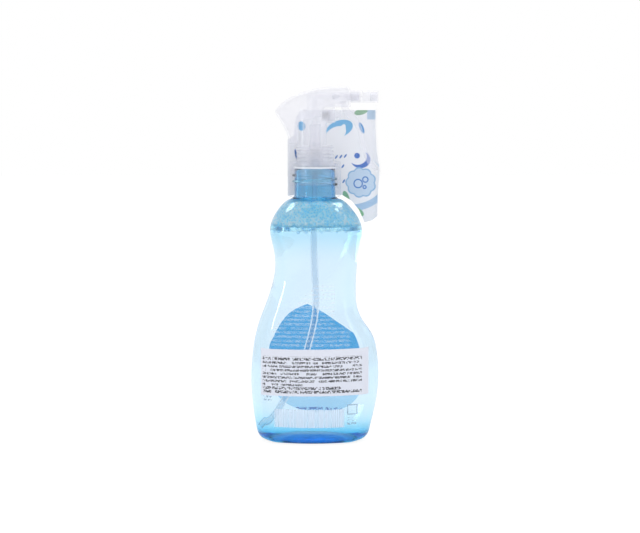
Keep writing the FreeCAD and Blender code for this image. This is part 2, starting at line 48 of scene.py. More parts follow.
# ---------------------------------------------------------------- studio
# A pale floor in an evenly lit white tent, with a strip light at the left and soft lights
# at the right and above.
# The camera stands a little above the bottle's shoulder and looks slightly down.
def add_node(tree, kind, settings=None, links=None):
    """One shader node; settings and links name its sockets, or its own properties."""
    node = tree.nodes.new(kind)
    for name, value in (settings or {}).items():
        if isinstance(name, int) or name in node.inputs:
            node.inputs[name].default_value = value
        else:
            setattr(node, name, value)
    for name, source in (links or {}).items():
        tree.links.new(source, node.inputs[name])
    return node


def linear(hex_colour, alpha=1.0):
    """An sRGB hex colour as the linear values that shader sockets take."""
    values = [int(hex_colour[i:i + 2], 16) / 255 for i in (1, 3, 5)]
    curve = [v / 12.92 if v <= 0.04045 else ((v + 0.055) / 1.055) ** 2.4 for v in values]
    return (*curve, alpha)


def new_material(name):
    material = bpy.data.materials.new(name)
    material.use_nodes = True
    tree = material.node_tree
    tree.nodes.clear()
    return material, tree, add_node(tree, "ShaderNodeOutputMaterial")


scene = bpy.context.scene
scene.view_settings.view_transform = "Standard"
scene.cycles.max_bounces = 28
scene.cycles.transmission_bounces = 28
scene.cycles.transparent_max_bounces = 32
scene.cycles.caustics_refractive = True
scene.cycles.caustics_reflective = False

BACKDROP_WHITE = linear("#FFFFFF")
world = bpy.data.worlds.new("studio")
scene.world = world
world.use_nodes = True
sky = world.node_tree
sky.nodes.clear()
ray = add_node(sky, "ShaderNodeLightPath")
seen = add_node(sky, "ShaderNodeMath", {"operation": "MAXIMUM"},
                {0: ray.outputs["Is Camera Ray"], 1: ray.outputs["Is Transmission Ray"]})
lit = add_node(sky, "ShaderNodeBackground", {"Color": linear("#FAFBFF"), "Strength": 1.0})
shown = add_node(sky, "ShaderNodeBackground", {"Color": BACKDROP_WHITE, "Strength": 1.0})
either = add_node(sky, "ShaderNodeMixShader", None,
                  {0: seen.outputs[0], 1: lit.outputs[0], 2: shown.outputs[0]})
add_node(sky, "ShaderNodeOutputWorld", None, {"Surface": either.outputs[0]})

bpy.ops.object.select_all(action="DESELECT")
bpy.ops.mesh.primitive_plane_add(size=6.0, location=(0, 0, -0.0002))
floor = bpy.context.object
floor.name = "floor"
paper, tree, output = new_material("matt white paper")
ray = add_node(tree, "ShaderNodeLightPath")
seen = add_node(tree, "ShaderNodeMath", {"operation": "MAXIMUM"},
                {0: ray.outputs["Is Camera Ray"], 1: ray.outputs["Is Transmission Ray"]})
share = add_node(tree, "ShaderNodeMath", {"operation": "MULTIPLY", 1: 0.80},
                 {0: seen.outputs[0]})
dull = add_node(tree, "ShaderNodeBsdfDiffuse", {"Color": linear("#F6F6F6")})
glow = add_node(tree, "ShaderNodeEmission", {"Color": BACKDROP_WHITE, "Strength": 1.14})
mixed = add_node(tree, "ShaderNodeMixShader", None,
                 {0: share.outputs[0], 1: dull.outputs[0], 2: glow.outputs[0]})
tree.links.new(mixed.outputs[0], output.inputs["Surface"])
floor.data.materials.append(paper)


def soft_light(name, place, aim, size, power):
    lamp = bpy.data.lights.new(name, "AREA")
    lamp.shape = "RECTANGLE"
    lamp.size, lamp.size_y = size
    lamp.energy = power
    holder = bpy.data.objects.new(name, lamp)
    scene.collection.objects.link(holder)
    holder.location = place
    holder.rotation_mode = "QUATERNION"
    holder.rotation_quaternion = (Vector(aim) - Vector(place)).to_track_quat("-Z", "Y")
    return holder


MIDDLE = (0, 0, 0.10)
soft_light("left strip light", (-0.62, -0.48, 0.24), MIDDLE, (0.09, 0.26), 0.45)
soft_light("right softbox", (0.75, -0.35, 0.30), MIDDLE, (0.50, 0.60), 0.5)
soft_light("top softbox", (0.0, -0.10, 0.80), MIDDLE, (0.60, 0.50), 1.8)

CAMERA_DISTANCE = 0.750
CAMERA_HEIGHT = 0.176
LOOK_AT = Vector((0.0027, 0.0, 0.0930))
FRAME_WIDTH = 0.3396          # width seen at the bottle's middle
camera_data = bpy.data.cameras.new("camera")
camera = bpy.data.objects.new("camera", camera_data)
scene.collection.objects.link(camera)
scene.camera = camera
camera.location = (LOOK_AT.x, -CAMERA_DISTANCE, CAMERA_HEIGHT)
camera.rotation_mode = "QUATERNION"
camera.rotation_quaternion = (LOOK_AT - camera.location).to_track_quat("-Z", "Y")
reach = (LOOK_AT - camera.location).length
camera_data.lens = camera_data.sensor_width / 2 / (FRAME_WIDTH / 2 / reach)
camera_data.clip_start = 0.01


# ---------------------------------------------------------------- bottle
# Stretch-blown PET, tinted clear blue: one thin wall with a pinched waist, a pushed-up
# base and a thick injection-moulded neck with a helical thread.
WALL_STATIONS = [(0.0, 1.7), (4.0, 1.3), (8.0, 0.6), (13.0, 0.27), (100.0, 0.25),
                 (110.0, 0.5), (118.0, 0.8), (124.0, 1.1), (130.0, 1.4)]   # height, thickness
PUNT_ROWS = [(3.0, -5.0, 3.0, 2.2), (2.7, -11.0, 9.0, 5.2), (1.5, -18.0, 16.0, 8.6),
             (0.35, -21.6, 19.6, 10.5)]
FOOT_ROWS = [(0.0, -23.6, 21.6, 11.9), (0.25, -26.2, 24.2, 14.0), (1.5, -29.2, 27.2, 16.9),
             (3.8, -31.0, 29.0, 18.7)]
BODY_ROWS = [
    (8.0, -31.7, 29.7, 19.3), (18.0, -33.4, 32.4, 20.2), (30.0, -34.4, 34.3, 20.5),
    (42.0, -34.0, 34.0, 20.4), (53.0, -32.6, 32.5, 20.0), (58.5, -31.2, 29.9, 19.7),
    (62.5, -30.2, 26.6, 19.4), (67.0, -28.6, 23.8, 19.0), (72.5, -26.4, 22.0, 18.6),
    (80.0, -23.6, 21.7, 18.2), (90.0, -21.0, 22.1, 18.0), (99.0, -21.0, 22.7, 18.1),
    (107.0, -23.0, 24.4, 18.6), (113.0, -24.4, 25.5, 18.9), (118.5, -22.6, 23.6, 18.1),
]
SHOULDER_ROWS = [(123.5, -19.6, 19.9, 16.4), (127.2, -16.4, 16.7, 14.7),
                 (129.0, -13.4, 13.4, 13.0)]
NECK_TOP = 145.1
NECK_BORE = 9.0


def start_piece():
    if bpy.context.object and bpy.context.object.mode != "OBJECT":
        bpy.ops.object.mode_set(mode="OBJECT")
    bpy.ops.object.select_all(action="DESELECT")


def apply_modifier(piece, kind, **settings):
    bpy.context.view_layer.objects.active = piece
    modifier = piece.modifiers.new(kind.lower(), kind)
    for name, value in settings.items():
        setattr(modifier, name, value)
    bpy.ops.object.modifier_apply(modifier=modifier.name)


def selected_box():
    mesh = bmesh.from_edit_mesh(bpy.context.object.data)
    places = [v.co for v in mesh.verts if v.select]
    low = Vector([min(p[i] for p in places) for i in range(3)])
    high = Vector([max(p[i] for p in places) for i in range(3)])
    return low, high


def fit_ring(height, left, right, half_depth):
    """Scales and moves the selected ring to a height and an outline, in millimetres."""
    low, high = selected_box()
    middle = (low + high) / 2
    across = (right - left) * MM / (high.x - low.x)
    deep = 2 * half_depth * MM / (high.y - low.y)
    bpy.ops.transform.resize(value=(across, deep, 1), center_override=middle)
    target = Vector(((left + right) / 2 * MM, 0, height * MM))
    bpy.ops.transform.translate(value=target - middle)


def pull_ring(row, rounding=0.0):
    """Extrudes the selected ring to the next section of a blown or moulded wall."""
    bpy.ops.mesh.extrude_region_move()
    if rounding:
        bpy.ops.transform.tosphere(value=rounding)
    fit_ring(*row)


def start_ring(name, row, sides, squareness):
    """A squared-off circle, open for extruding, as the first section of a wall."""
    start_piece()
    bpy.ops.mesh.primitive_circle_add(vertices=sides, radius=1.0)
    piece = bpy.context.object
    piece.name = name
    if squareness:
        apply_modifier(piece, "CAST", cast_type="CUBOID", factor=squareness, use_z=False)
    bpy.ops.object.mode_set(mode="EDIT")
    bpy.ops.mesh.select_all(action="SELECT")
    fit_ring(*row)
    return piece


def close_ring():
    """Closes the selected ring with a fan to one point in its middle."""
    bpy.ops.mesh.extrude_region_move()
    bpy.ops.mesh.merge(type="CENTER")


def select_low_ring(piece, height, tolerance=0.02):
    """Selects the open ring at a height, in millimetres."""
    bpy.ops.mesh.select_all(action="DESELECT")
    mesh = bmesh.from_edit_mesh(piece.data)
    for edge in mesh.edges:
        level = all(abs(v.co.z - height * MM) < tolerance * MM for v in edge.verts)
        if level and edge.is_boundary:
            edge.select_set(True)
    bmesh.update_edit_mesh(piece.data)


def tidy_mesh(piece, seam=0.001):
    """Merges doubles and turns the faces outwards."""
    bpy.ops.mesh.select_all(action="SELECT")
    bpy.ops.mesh.remove_doubles(threshold=seam * MM)
    bpy.ops.mesh.normals_make_consistent(inside=False)
    bpy.ops.object.mode_set(mode="OBJECT")


def wall_at(height):
    """The wall's thickness at a height: thick under the neck and in the foot."""
    for (low, thin), (high, thick) in zip(WALL_STATIONS, WALL_STATIONS[1:]):
        if height <= high:
            return thin + (thick - thin) * max(0.0, height - low) / (high - low)
    return WALL_STATIONS[-1][1]


def inner_rows(rows, deeper=0.0, floor=False):
    """The rows of the wall's inner face, or of something that much further inside it."""
    moved = []
    for height, left, right, depth in rows:
        inset = wall_at(height) + deeper
        rise = inset if floor else 0.0
        moved.append((height + rise, left + inset, right - inset, depth - inset))
    return moved


def punt_rows(shrink):
    """The rows of the push-up's inner face, which is wider and higher than its outer one."""
    thick = WALL_STATIONS[0][1] - shrink
    return [(height + thick, left - thick, right + thick, depth + thick)
            for height, left, right, depth in PUNT_ROWS]


def finish_piece(piece, body, material, node=None, crease=40):
    """Smooth shading, the finish, and the calls that fix the piece to its body."""
    bpy.ops.object.select_all(action="DESELECT")
    piece.select_set(True)
    bpy.context.view_layer.objects.active = piece
    bpy.ops.object.shade_smooth_by_angle(angle=math.radians(crease))
    piece.data.materials.clear()
    piece.data.materials.append(material)
    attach(piece, body)
    if node:
        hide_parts(node)
    return piece


def round_row(height, radius):
    return (height, -radius, radius, radius)


def raise_thread(radius, crest, height, turns, root_width, crest_width, steps=48):
    """A helical ridge with a trapezoid section, wound up round the neck axis."""
    start_piece()
    bpy.ops.mesh.primitive_plane_add(size=1.0, rotation=(math.pi / 2, 0, 0))
    ridge = bpy.context.object
    bpy.ops.object.transform_apply(location=False, rotation=True, scale=False)
    for vertex in ridge.data.vertices:
        outer = vertex.co.x > 0
        width = crest_width if outer else root_width
        side = 1 if vertex.co.z > 0 else -1
        vertex.co = Vector(((crest if outer else radius) * MM, 0,
                            (height + side * width / 2) * MM))
    apply_modifier(ridge, "SCREW", angle=2 * math.pi * turns, screw_offset=3.175 * MM * turns,
                   steps=int(steps * turns), render_steps=int(steps * turns), axis="Z",
                   use_normal_calculate=True)
    bpy.ops.object.mode_set(mode="EDIT")
    bpy.ops.mesh.select_all(action="SELECT")
    bpy.ops.mesh.edge_face_add()
    tidy_mesh(ridge)
    return ridge


def join_pieces(first, *others):
    start_piece()
    for piece in (first, *others):
        piece.select_set(True)
    bpy.context.view_layer.objects.active = first
    bpy.ops.object.join()
    return first


def blow_wall(name, punt, foot, body, shoulder=()):
    """One face of the blown wall, pulled up ring by ring from the middle of the base."""
    wall = start_ring(name, punt[0], 64, 0.23)
    for row in list(punt[1:]) + foot + body:
        pull_ring(row)
    for row, rounding in zip(shoulder, (0.35, 0.6, 1.0)):
        pull_ring(row, rounding)
    return wall


def close_base(wall, punt):
    select_low_ring(wall, punt[0][0])
    close_ring()
    bpy.ops.object.mode_set(mode="OBJECT")


def bridge_rims(piece):
    """Joins a wall's two open rims with a ring of faces."""
    bpy.ops.mesh.select_mode(type="EDGE")
    bpy.ops.mesh.select_all(action="DESELECT")
    bpy.ops.mesh.select_non_manifold()
    bpy.ops.mesh.bridge_edge_loops()
    bpy.ops.mesh.select_mode(type="VERT")
    tidy_mesh(piece)


bottle = blow_wall("bottle_shell", PUNT_ROWS, FOOT_ROWS, BODY_ROWS, SHOULDER_ROWS)
for row in [round_row(129.25, 12.2), round_row(129.5, 11.7), round_row(130.0, 11.6),
            round_row(130.2, 10.8), round_row(131.0, 10.75), round_row(144.2, 10.75),
            round_row(144.9, 10.6), round_row(NECK_TOP, 10.1), round_row(NECK_TOP, 9.6)]:
    pull_ring(row)
close_base(bottle, PUNT_ROWS)
lowered = [(row[0] - 0.9, *row[1:]) for row in inner_rows(SHOULDER_ROWS)]
inside = blow_wall("inner_face", punt_rows(0.0), inner_rows(FOOT_ROWS, 0.0, True),
                   inner_rows(BODY_ROWS), lowered)
for row in [round_row(129.0, NECK_BORE + 0.3), round_row(131.0, NECK_BORE),
            round_row(144.2, NECK_BORE), round_row(144.8, NECK_BORE + 0.05)]:
    pull_ring(row)
close_base(inside, punt_rows(0.0))
join_pieces(bottle, inside)
bpy.ops.object.mode_set(mode="EDIT")
bridge_rims(bottle)
apply_modifier(bottle, "SUBSURF", levels=1, render_levels=1)
neck_thread = raise_thread(10.6, 11.85, 136.6, 1.5, 1.6, 0.9)
join_pieces(bottle, neck_thread)

# Blue-tinted PET: looks nearly clear face on and deep blue where the wall is seen edge on.
pet, tree, output = new_material("blue tinted PET")
shader = add_node(tree, "ShaderNodeBsdfPrincipled", {
    "Base Color": linear("#FFFFFF"), "Roughness": 0.02, "IOR": 1.50,
    "Transmission Weight": 1.0})
tint = add_node(tree, "ShaderNodeVolumeAbsorption",
                {"Color": linear("#00E2FA"), "Density": 620.0})
tree.links.new(shader.outputs[0], output.inputs["Surface"])
tree.links.new(tint.outputs[0], output.inputs["Volume"])
finish_piece(bottle, "bottle", pet, "bottle")


# ---------------------------------------------------------------- cleaning fluid
# Clear, faintly blue water-thin cleaner. It fills the bottle to just under the shoulder
# and creeps up the wall a little at its edge.
FILL_HEIGHT = 113.5
OVERLAP = 0.12                # the liquid wets the wall, so it starts just inside the PET

fluid = blow_wall("cleaning_fluid_body", punt_rows(OVERLAP), inner_rows(FOOT_ROWS, -OVERLAP, True),
                  inner_rows(BODY_ROWS[:-2], -OVERLAP))
brim = (FILL_HEIGHT, -24.4, 25.5, 18.9)
for deeper, drop in ((-OVERLAP, 0.0), (0.7, 0.7), (2.0, 1.0), (8.0, 1.05)):
    level = inner_rows([brim], deeper)[0]
    pull_ring((level[0] - drop, *level[1:]))
close_ring()
close_base(fluid, punt_rows(OVERLAP))
bpy.ops.object.mode_set(mode="EDIT")
tidy_mesh(fluid)
apply_modifier(fluid, "SUBSURF", levels=1, render_levels=1)
liquid, tree, output = new_material("clear blue liquid")
shader = add_node(tree, "ShaderNodeBsdfPrincipled", {
    "Base Color": linear("#FFFFFF"), "Roughness": 0.0, "IOR": 1.333,
    "Transmission Weight": 1.0})
tint = add_node(tree, "ShaderNodeVolumeAbsorption",
                {"Color": linear("#BEB6EA"), "Density": 7.0})
tree.links.new(shader.outputs[0], output.inputs["Surface"])
tree.links.new(tint.outputs[0], output.inputs["Volume"])
finish_piece(fluid, "bottle", liquid, "cleaning_fluid")


# ---------------------------------------------------------------- foam
# Froth left under the shoulder after the bottle has been shaken: a speckled layer that
# clings to the wall, with a ragged lower edge.
FOAM_ROWS = [(127.6, -15.6, 15.9, 14.0), (126.6, -17.2, 17.5, 15.0)] + [
    (123.5, -19.6, 19.9, 16.4), (118.5, -22.6, 23.6, 18.1), (115.4, -23.9, 25.0, 18.7)]

foam = start_ring("foam_layer", inner_rows(FOAM_ROWS, 0.1)[0], 96, 0.20)
for row in inner_rows(FOAM_ROWS, 0.1)[1:]:
    pull_ring(row)
for row in inner_rows(list(reversed(FOAM_ROWS))[:-1], 2.2):
    pull_ring(row)
close_ring()
select_low_ring(foam, FOAM_ROWS[0][0])
close_ring()
tidy_mesh(foam)
apply_modifier(foam, "SUBSURF", levels=2, render_levels=2)
froth = bpy.data.textures.new("froth", "CLOUDS")
froth.noise_scale = 0.0022
apply_modifier(foam, "DISPLACE", texture=froth, texture_coords="LOCAL", strength=-0.0010,
               mid_level=1.0)

lather, tree, output = new_material("white lather, fine bubbles, painted blue glow")
place = add_node(tree, "ShaderNodeTexCoord")
cells = add_node(tree, "ShaderNodeTexVoronoi", {"Scale": 900.0}, {"Vector": place.outputs["Object"]})
patches = add_node(tree, "ShaderNodeTexNoise", {"Scale": 160.0, "Detail": 4.0},
                   {"Vector": place.outputs["Object"]})
blend = add_node(tree, "ShaderNodeMath", {"operation": "MULTIPLY"},
                 {0: cells.outputs["Distance"], 1: patches.outputs["Fac"]})
colour = add_node(tree, "ShaderNodeValToRGB", None, {"Fac": blend.outputs[0]})
colour.color_ramp.elements[0].position = 0.05
colour.color_ramp.elements[0].color = linear("#8CDBFF")
colour.color_ramp.elements[1].position = 0.42
colour.color_ramp.elements[1].color = linear("#EAFAFF")
bump = add_node(tree, "ShaderNodeBump", {"Strength": 0.6, "Distance": 0.0004},
                {"Height": cells.outputs["Distance"]})
# The faint blue emission is painted light: a glow that stands in for light scattered inside the froth,
# though the lather is no lamp.
shader = add_node(tree, "ShaderNodeBsdfPrincipled",
                  {"Roughness": 0.35, "IOR": 1.33, "Emission Color": linear("#7CC6F5"),
                   "Emission Strength": 0.2},
                  {"Base Color": colour.outputs["Color"], "Normal": bump.outputs["Normal"]})
tree.links.new(shader.outputs[0], output.inputs["Surface"])
finish_piece(foam, "bottle", lather, crease=180)


# ---------------------------------------------------------------- loose bubbles
# Thin soap bubbles, each 0.7 to 2.1 mm across, that float at the liquid's surface and
# gather along the wall.
BUBBLE_COUNT = 110
random.seed(11)
start_piece()
bpy.ops.mesh.primitive_ico_sphere_add(subdivisions=2, radius=0.8 * MM,
                                      location=(12.0 * MM, -13.5 * MM, 113.6 * MM))
bubbles = bpy.context.object
bubbles.name = "loose_bubbles"
bpy.ops.object.transform_apply(location=True, rotation=False, scale=False)
bpy.ops.object.mode_set(mode="EDIT")
for _ in range(BUBBLE_COUNT):
    angle = random.uniform(0, 2 * math.pi)
    size = random.uniform(0.35, 1.05)
    out = random.uniform(0.86, 0.95) - 0.03 * size
    spot = ((0.55 + 23.6 * out * math.cos(angle)) * MM, 17.6 * out * math.sin(angle) * MM,
            (113.0 + random.uniform(-0.9, 1.9)) * MM)
    bpy.ops.mesh.primitive_ico_sphere_add(subdivisions=2, radius=size * MM, location=spot)
bpy.ops.object.mode_set(mode="OBJECT")
soap, tree, output = new_material("soap bubble film")
weight = add_node(tree, "ShaderNodeLayerWeight", {"Blend": 0.35})
thin = add_node(tree, "ShaderNodeTexCoord")
swirl = add_node(tree, "ShaderNodeTexNoise", {"Scale": 500.0}, {"Vector": thin.outputs["Object"]})
rim = add_node(tree, "ShaderNodeMixRGB", {1: linear("#D9F1FE"), 2: linear("#F6FCFF")},
               {0: swirl.outputs["Fac"]})
clear = add_node(tree, "ShaderNodeBsdfTransparent", {"Color": linear("#F2FAFF")})
shine = add_node(tree, "ShaderNodeBsdfGlossy", {"Roughness": 0.15}, {"Color": rim.outputs["Color"]})
skin = add_node(tree, "ShaderNodeMixShader", None, {
    0: weight.outputs["Facing"], 1: clear.outputs[0], 2: shine.outputs[0]})
tree.links.new(skin.outputs[0], output.inputs["Surface"])
finish_piece(bubbles, "bottle", soap, crease=180)


# ---------------------------------------------------------------- labels
# Two die-cut film labels wrapped on the blown wall, and a paper sticker over the back one.
# The front label is a blue drop; the back one is clear film with fine white print.
def calc(tree, operation, first, second=0.0):
    """One arithmetic step on two values or sockets."""
    node = tree.nodes.new("ShaderNodeMath")
    node.operation = operation
    for socket, value in zip(node.inputs, (first, second)):
        if isinstance(value, (int, float)):
            socket.default_value = value
        else:
            tree.links.new(value, socket)
    return node.outputs[0]


def between(tree, value, low, high):
    """1 where a value lies between two limits, else 0."""
    above = calc(tree, "GREATER_THAN", value, low)
    below = calc(tree, "LESS_THAN", value, high)
    return calc(tree, "MULTIPLY", above, below)


def face_place(tree):
    """Across and up, in millimetres, on a face that looks along Y."""
    place = add_node(tree, "ShaderNodeTexCoord")
    split = add_node(tree, "ShaderNodeSeparateXYZ", None, {"Vector": place.outputs["Object"]})
    return (calc(tree, "MULTIPLY", split.outputs["X"], 1000.0),
            calc(tree, "MULTIPLY", split.outputs["Z"], 1000.0))


def print_rows(tree, across, up, base, pitch, share, stroke, gaps, seed):
    """Rows of small illegible strokes, as fine print looks from a distance."""
    level = calc(tree, "DIVIDE", calc(tree, "SUBTRACT", up, base), pitch)
    row = calc(tree, "FLOOR", level)
    inside = calc(tree, "LESS_THAN", calc(tree, "SUBTRACT", level, row), share)
    spot = add_node(tree, "ShaderNodeCombineXYZ", {"Z": seed}, {
        "X": across, "Y": calc(tree, "MULTIPLY", row, 7.7)})
    mark = add_node(tree, "ShaderNodeCombineXYZ", {"Z": seed}, {"X": across, "Y": up})
    letters = add_node(tree, "ShaderNodeTexNoise", {"Scale": 1.0 / stroke, "Detail": 2.0},
                       {"Vector": mark.outputs[0]})
    words = add_node(tree, "ShaderNodeTexNoise", {"Scale": 0.32, "Detail": 1.0},
                     {"Vector": spot.outputs[0]})
    inked = calc(tree, "GREATER_THAN", letters.outputs["Fac"], 0.48)
    spaced = calc(tree, "GREATER_THAN", words.outputs["Fac"], gaps)
    return calc(tree, "MULTIPLY", inside, calc(tree, "MULTIPLY", inked, spaced))


def outline_face(name, corners):
    """A flat n-gon in the middle plane, from corners given across and up."""
    start_piece()
    bpy.ops.mesh.primitive_circle_add(vertices=len(corners), radius=1.0, fill_type="NGON")
    piece = bpy.context.object
    piece.name = name
    for vertex, (across, up) in zip(piece.data.vertices, corners):
        vertex.co = Vector((across * MM, 0, up * MM))
    return piece


def thicken(piece, low, high):
    """Pushes a flat outline out to both sides of the middle plane."""
    bpy.ops.object.mode_set(mode="EDIT")
    bpy.ops.mesh.select_all(action="SELECT")
    bpy.ops.transform.translate(value=(0, low * MM, 0))
    bpy.ops.mesh.extrude_region_move(
        TRANSFORM_OT_translate={"value": (0, (high - low) * MM, 0)})
    bpy.ops.mesh.select_all(action="SELECT")
    bpy.ops.mesh.normals_make_consistent(inside=False)
    bpy.ops.object.mode_set(mode="OBJECT")


def smooth_line(points, steps=6):
    """Points along a smooth curve through the given ones."""
    ends = [points[0]] + list(points) + [points[-1]]
    line = []
    for a, b, c, d in zip(ends, ends[1:], ends[2:], ends[3:]):
        for step in range(steps):
            t = step / steps
            line.append(tuple(0.5 * (2 * q + (r - p) * t + (2 * p - 5 * q + 4 * r - s) * t * t
                                     + (3 * q - p - 3 * r + s) * t ** 3)
                              for p, q, r, s in zip(a, b, c, d)))
    return line + [points[-1]]


def standing_grid(name, corners, side):
    """An upright grid that covers an outline, standing clear of the bottle on one side."""
    xs = [corner[0] for corner in corners]
    zs = [corner[1] for corner in corners]
    width, height = max(xs) - min(xs) + 2, max(zs) - min(zs) + 2
    start_piece()
    bpy.ops.mesh.primitive_grid_add(x_subdivisions=int(width), y_subdivisions=int(height), size=1.0)
    film = bpy.context.object
    film.name = name
    bpy.ops.object.mode_set(mode="EDIT")
    bpy.ops.transform.resize(value=(width * MM, height * MM, 1))
    bpy.ops.transform.rotate(value=math.pi / 2, orient_axis="X", center_override=(0, 0, 0))
    middle = ((max(xs) + min(xs)) / 2 * MM, side * 0.04, (max(zs) + min(zs)) / 2 * MM)
    bpy.ops.transform.translate(value=middle)
    bpy.ops.object.mode_set(mode="OBJECT")
    return film


def wrap_label(name, corners, side, lift, thickness):
    """A sheet pressed on the bottle's wall along Y, then cut to its outline."""
    film = standing_grid(name, corners, side)
    apply_modifier(film, "SHRINKWRAP", target=bottle, wrap_method="PROJECT", use_project_y=True,
                   use_project_x=False, use_project_z=False, use_negative_direction=side > 0,
                   use_positive_direction=side < 0)
    bpy.ops.object.mode_set(mode="EDIT")
    bpy.ops.mesh.select_all(action="SELECT")
    bpy.ops.transform.translate(value=(0, side * lift * MM, 0))
    bpy.ops.mesh.extrude_region_move(
        TRANSFORM_OT_translate={"value": (0, side * thickness * MM, 0)})
    bpy.ops.mesh.select_all(action="SELECT")
    bpy.ops.mesh.normals_make_consistent(inside=False)
    bpy.ops.object.mode_set(mode="OBJECT")
    cutter = outline_face("cutter", corners)
    thicken(cutter, min(0, side * 39), max(0, side * 39))
    apply_modifier(film, "BOOLEAN", operation="INTERSECT", object=cutter, solver="EXACT")
    bpy.data.objects.remove(cutter)
    return film


def rim_share(tree, straight_on, most):
    """How much a surface mirrors: little face on, more at a low angle, on both of its sides."""
    weight = add_node(tree, "ShaderNodeLayerWeight", {"Blend": 0.5})
    steep = calc(tree, "POWER", weight.outputs["Facing"], 4.0)
    return calc(tree, "ADD", calc(tree, "MULTIPLY", steep, most - straight_on), straight_on)


def film_material(name):
    """A clear film: see-through, with a soft gloss that grows at a low angle."""
    material, tree, output = new_material(name)
    clear = add_node(tree, "ShaderNodeBsdfTransparent", {"Color": linear("#FFFFFF")})
    gloss = add_node(tree, "ShaderNodeBsdfGlossy", {"Color": linear("#FFFFFF"), "Roughness": 0.12})
    film = add_node(tree, "ShaderNodeMixShader", None,
                    {0: rim_share(tree, 0.01, 0.5), 1: clear.outputs[0], 2: gloss.outputs[0]})
    return material, tree, output, film


DROP_TIP = (-3.5, 71.2)
DROP_LEFT = [(-8.0, 68.6), (-12.6, 64.6), (-17.2, 58.0), (-20.6, 50.6), (-22.8, 42.0),
             (-22.6, 33.0), (-19.8, 24.6), (-14.4, 18.2), (-7.0, 14.4)]
DROP_BOTTOM = (2.5, 13.0)
DROP_RIGHT = [(12.0, 14.6), (18.6, 19.0), (22.6, 26.0), (24.0, 34.0), (23.6, 42.0),
              (21.2, 49.5), (15.8, 55.2), (10.0, 60.0), (3.2, 66.4)]
drop_outline = smooth_line([DROP_TIP] + DROP_LEFT + [DROP_BOTTOM] + DROP_RIGHT + [DROP_TIP], 4)[:-1]
front_label = wrap_label("front_label_film", drop_outline, 1, 0.02, 0.10)
blue_print, tree, output, film = film_material("film printed in backlit cyan")
across, up = face_place(tree)
fade = add_node(tree, "ShaderNodeMapRange", {"From Min": 22.0, "From Max": 34.0}, {"Value": up})
tone = add_node(tree, "ShaderNodeMixRGB", {1: linear("#DDF2FC"), 2: linear("#50D2F1")},
                {0: fade.outputs["Result"]})
small = calc(tree, "MULTIPLY", print_rows(tree, across, up, 14.2, 2.2, 0.6, 0.7, 0.45, 3.0),
             between(tree, up, 13.5, 16.0))
toned = add_node(tree, "ShaderNodeMixRGB", {2: linear("#5A9FD8")},
                 {0: small, 1: tone.outputs["Color"]})
ink = add_node(tree, "ShaderNodeBsdfTransparent", None, {"Color": toned.outputs["Color"]})
body_ink = add_node(tree, "ShaderNodeBsdfDiffuse", None, {"Color": toned.outputs["Color"]})
printed = add_node(tree, "ShaderNodeMixShader", {0: 0.06},
                   {1: ink.outputs[0], 2: body_ink.outputs[0]})
# The print fades where it is seen from inside at a slant, so that the bottle's corners show
# clear film there.
surface = add_node(tree, "ShaderNodeNewGeometry")
sight = add_node(tree, "ShaderNodeSeparateXYZ", None, {"Vector": surface.outputs["Incoming"]})
from_inside = calc(tree, "LESS_THAN", sight.outputs["Y"], 0.0)
aslant = calc(tree, "GREATER_THAN", calc(tree, "ABSOLUTE", sight.outputs["X"]), 0.2)
faded = calc(tree, "MULTIPLY", from_inside, aslant)
seen_print = add_node(tree, "ShaderNodeMixShader", None,
                      {0: faded, 1: printed.outputs[0], 2: film.outputs[0]})
tree.links.new(seen_print.outputs[0], output.inputs["Surface"])
finish_piece(front_label, "bottle", blue_print, "front_label")

BACK_LEFT = [(-10.0, 86.0), (-16.0, 74.0), (-22.0, 64.0), (-26.5, 56.0), (-28.4, 46.0),
             (-28.6, 30.0), (-27.6, 12.0)]
BACK_RIGHT = [(27.0, 12.0), (28.4, 30.0), (28.2, 46.0), (26.0, 56.0), (19.5, 63.0),
              (14.6, 74.0), (12.6, 86.0)]
back_outline = (smooth_line([(-8.0, 88.0)] + BACK_LEFT, 3) + [(-24.5, 9.4), (-20.0, 9.0),
                (19.5, 9.0), (24.0, 9.4)] + smooth_line(BACK_RIGHT + [(11.0, 88.0)], 3))
back_label = wrap_label("back_label_film", back_outline, -1, 0.02, 0.06)
white_print, tree, output, film = film_material("clear film with fine white print")
across, up = face_place(tree)
# Fine rows of print, whose left edge follows the label's slanting side.
left_edge = calc(tree, "MAXIMUM", calc(tree, "SUBTRACT", calc(tree, "MULTIPLY", up, 0.95), 81.0),
                 -22.6)
right_edge = calc(tree, "ADD", calc(tree, "MULTIPLY", calc(tree, "LESS_THAN", up, 63.0), 8.0), 10.4)
block = calc(tree, "MULTIPLY", calc(tree, "GREATER_THAN", across, left_edge),
             calc(tree, "LESS_THAN", across, right_edge))
block = calc(tree, "MULTIPLY", block, between(tree, up, 53.0, 86.0))
text = calc(tree, "MULTIPLY", print_rows(tree, across, up, 53.2, 2.2, 0.60, 0.62, 0.30, 1.0), block)
# Small grey marks at both sides, and an empty square at the right.
marks = calc(tree, "MULTIPLY", print_rows(tree, across, up, 24.0, 1.7, 0.6, 0.7, 0.3, 5.0),
             calc(tree, "MULTIPLY", between(tree, across, -27.0, -22.6), between(tree, up, 24.0, 28.5)))
more = calc(tree, "MULTIPLY", print_rows(tree, across, up, 11.4, 1.9, 0.6, 0.7, 0.3, 8.0),
            calc(tree, "MULTIPLY", between(tree, across, 17.0, 21.8), between(tree, up, 11.4, 15.4)))
box_out = calc(tree, "MULTIPLY", between(tree, across, 16.9, 22.4), between(tree, up, 16.8, 22.4))
box_in = calc(tree, "MULTIPLY", between(tree, across, 17.5, 21.8), between(tree, up, 17.4, 21.8))
frame_line = calc(tree, "SUBTRACT", box_out, box_in)
grey = calc(tree, "MAXIMUM", calc(tree, "MAXIMUM", marks, more), frame_line)
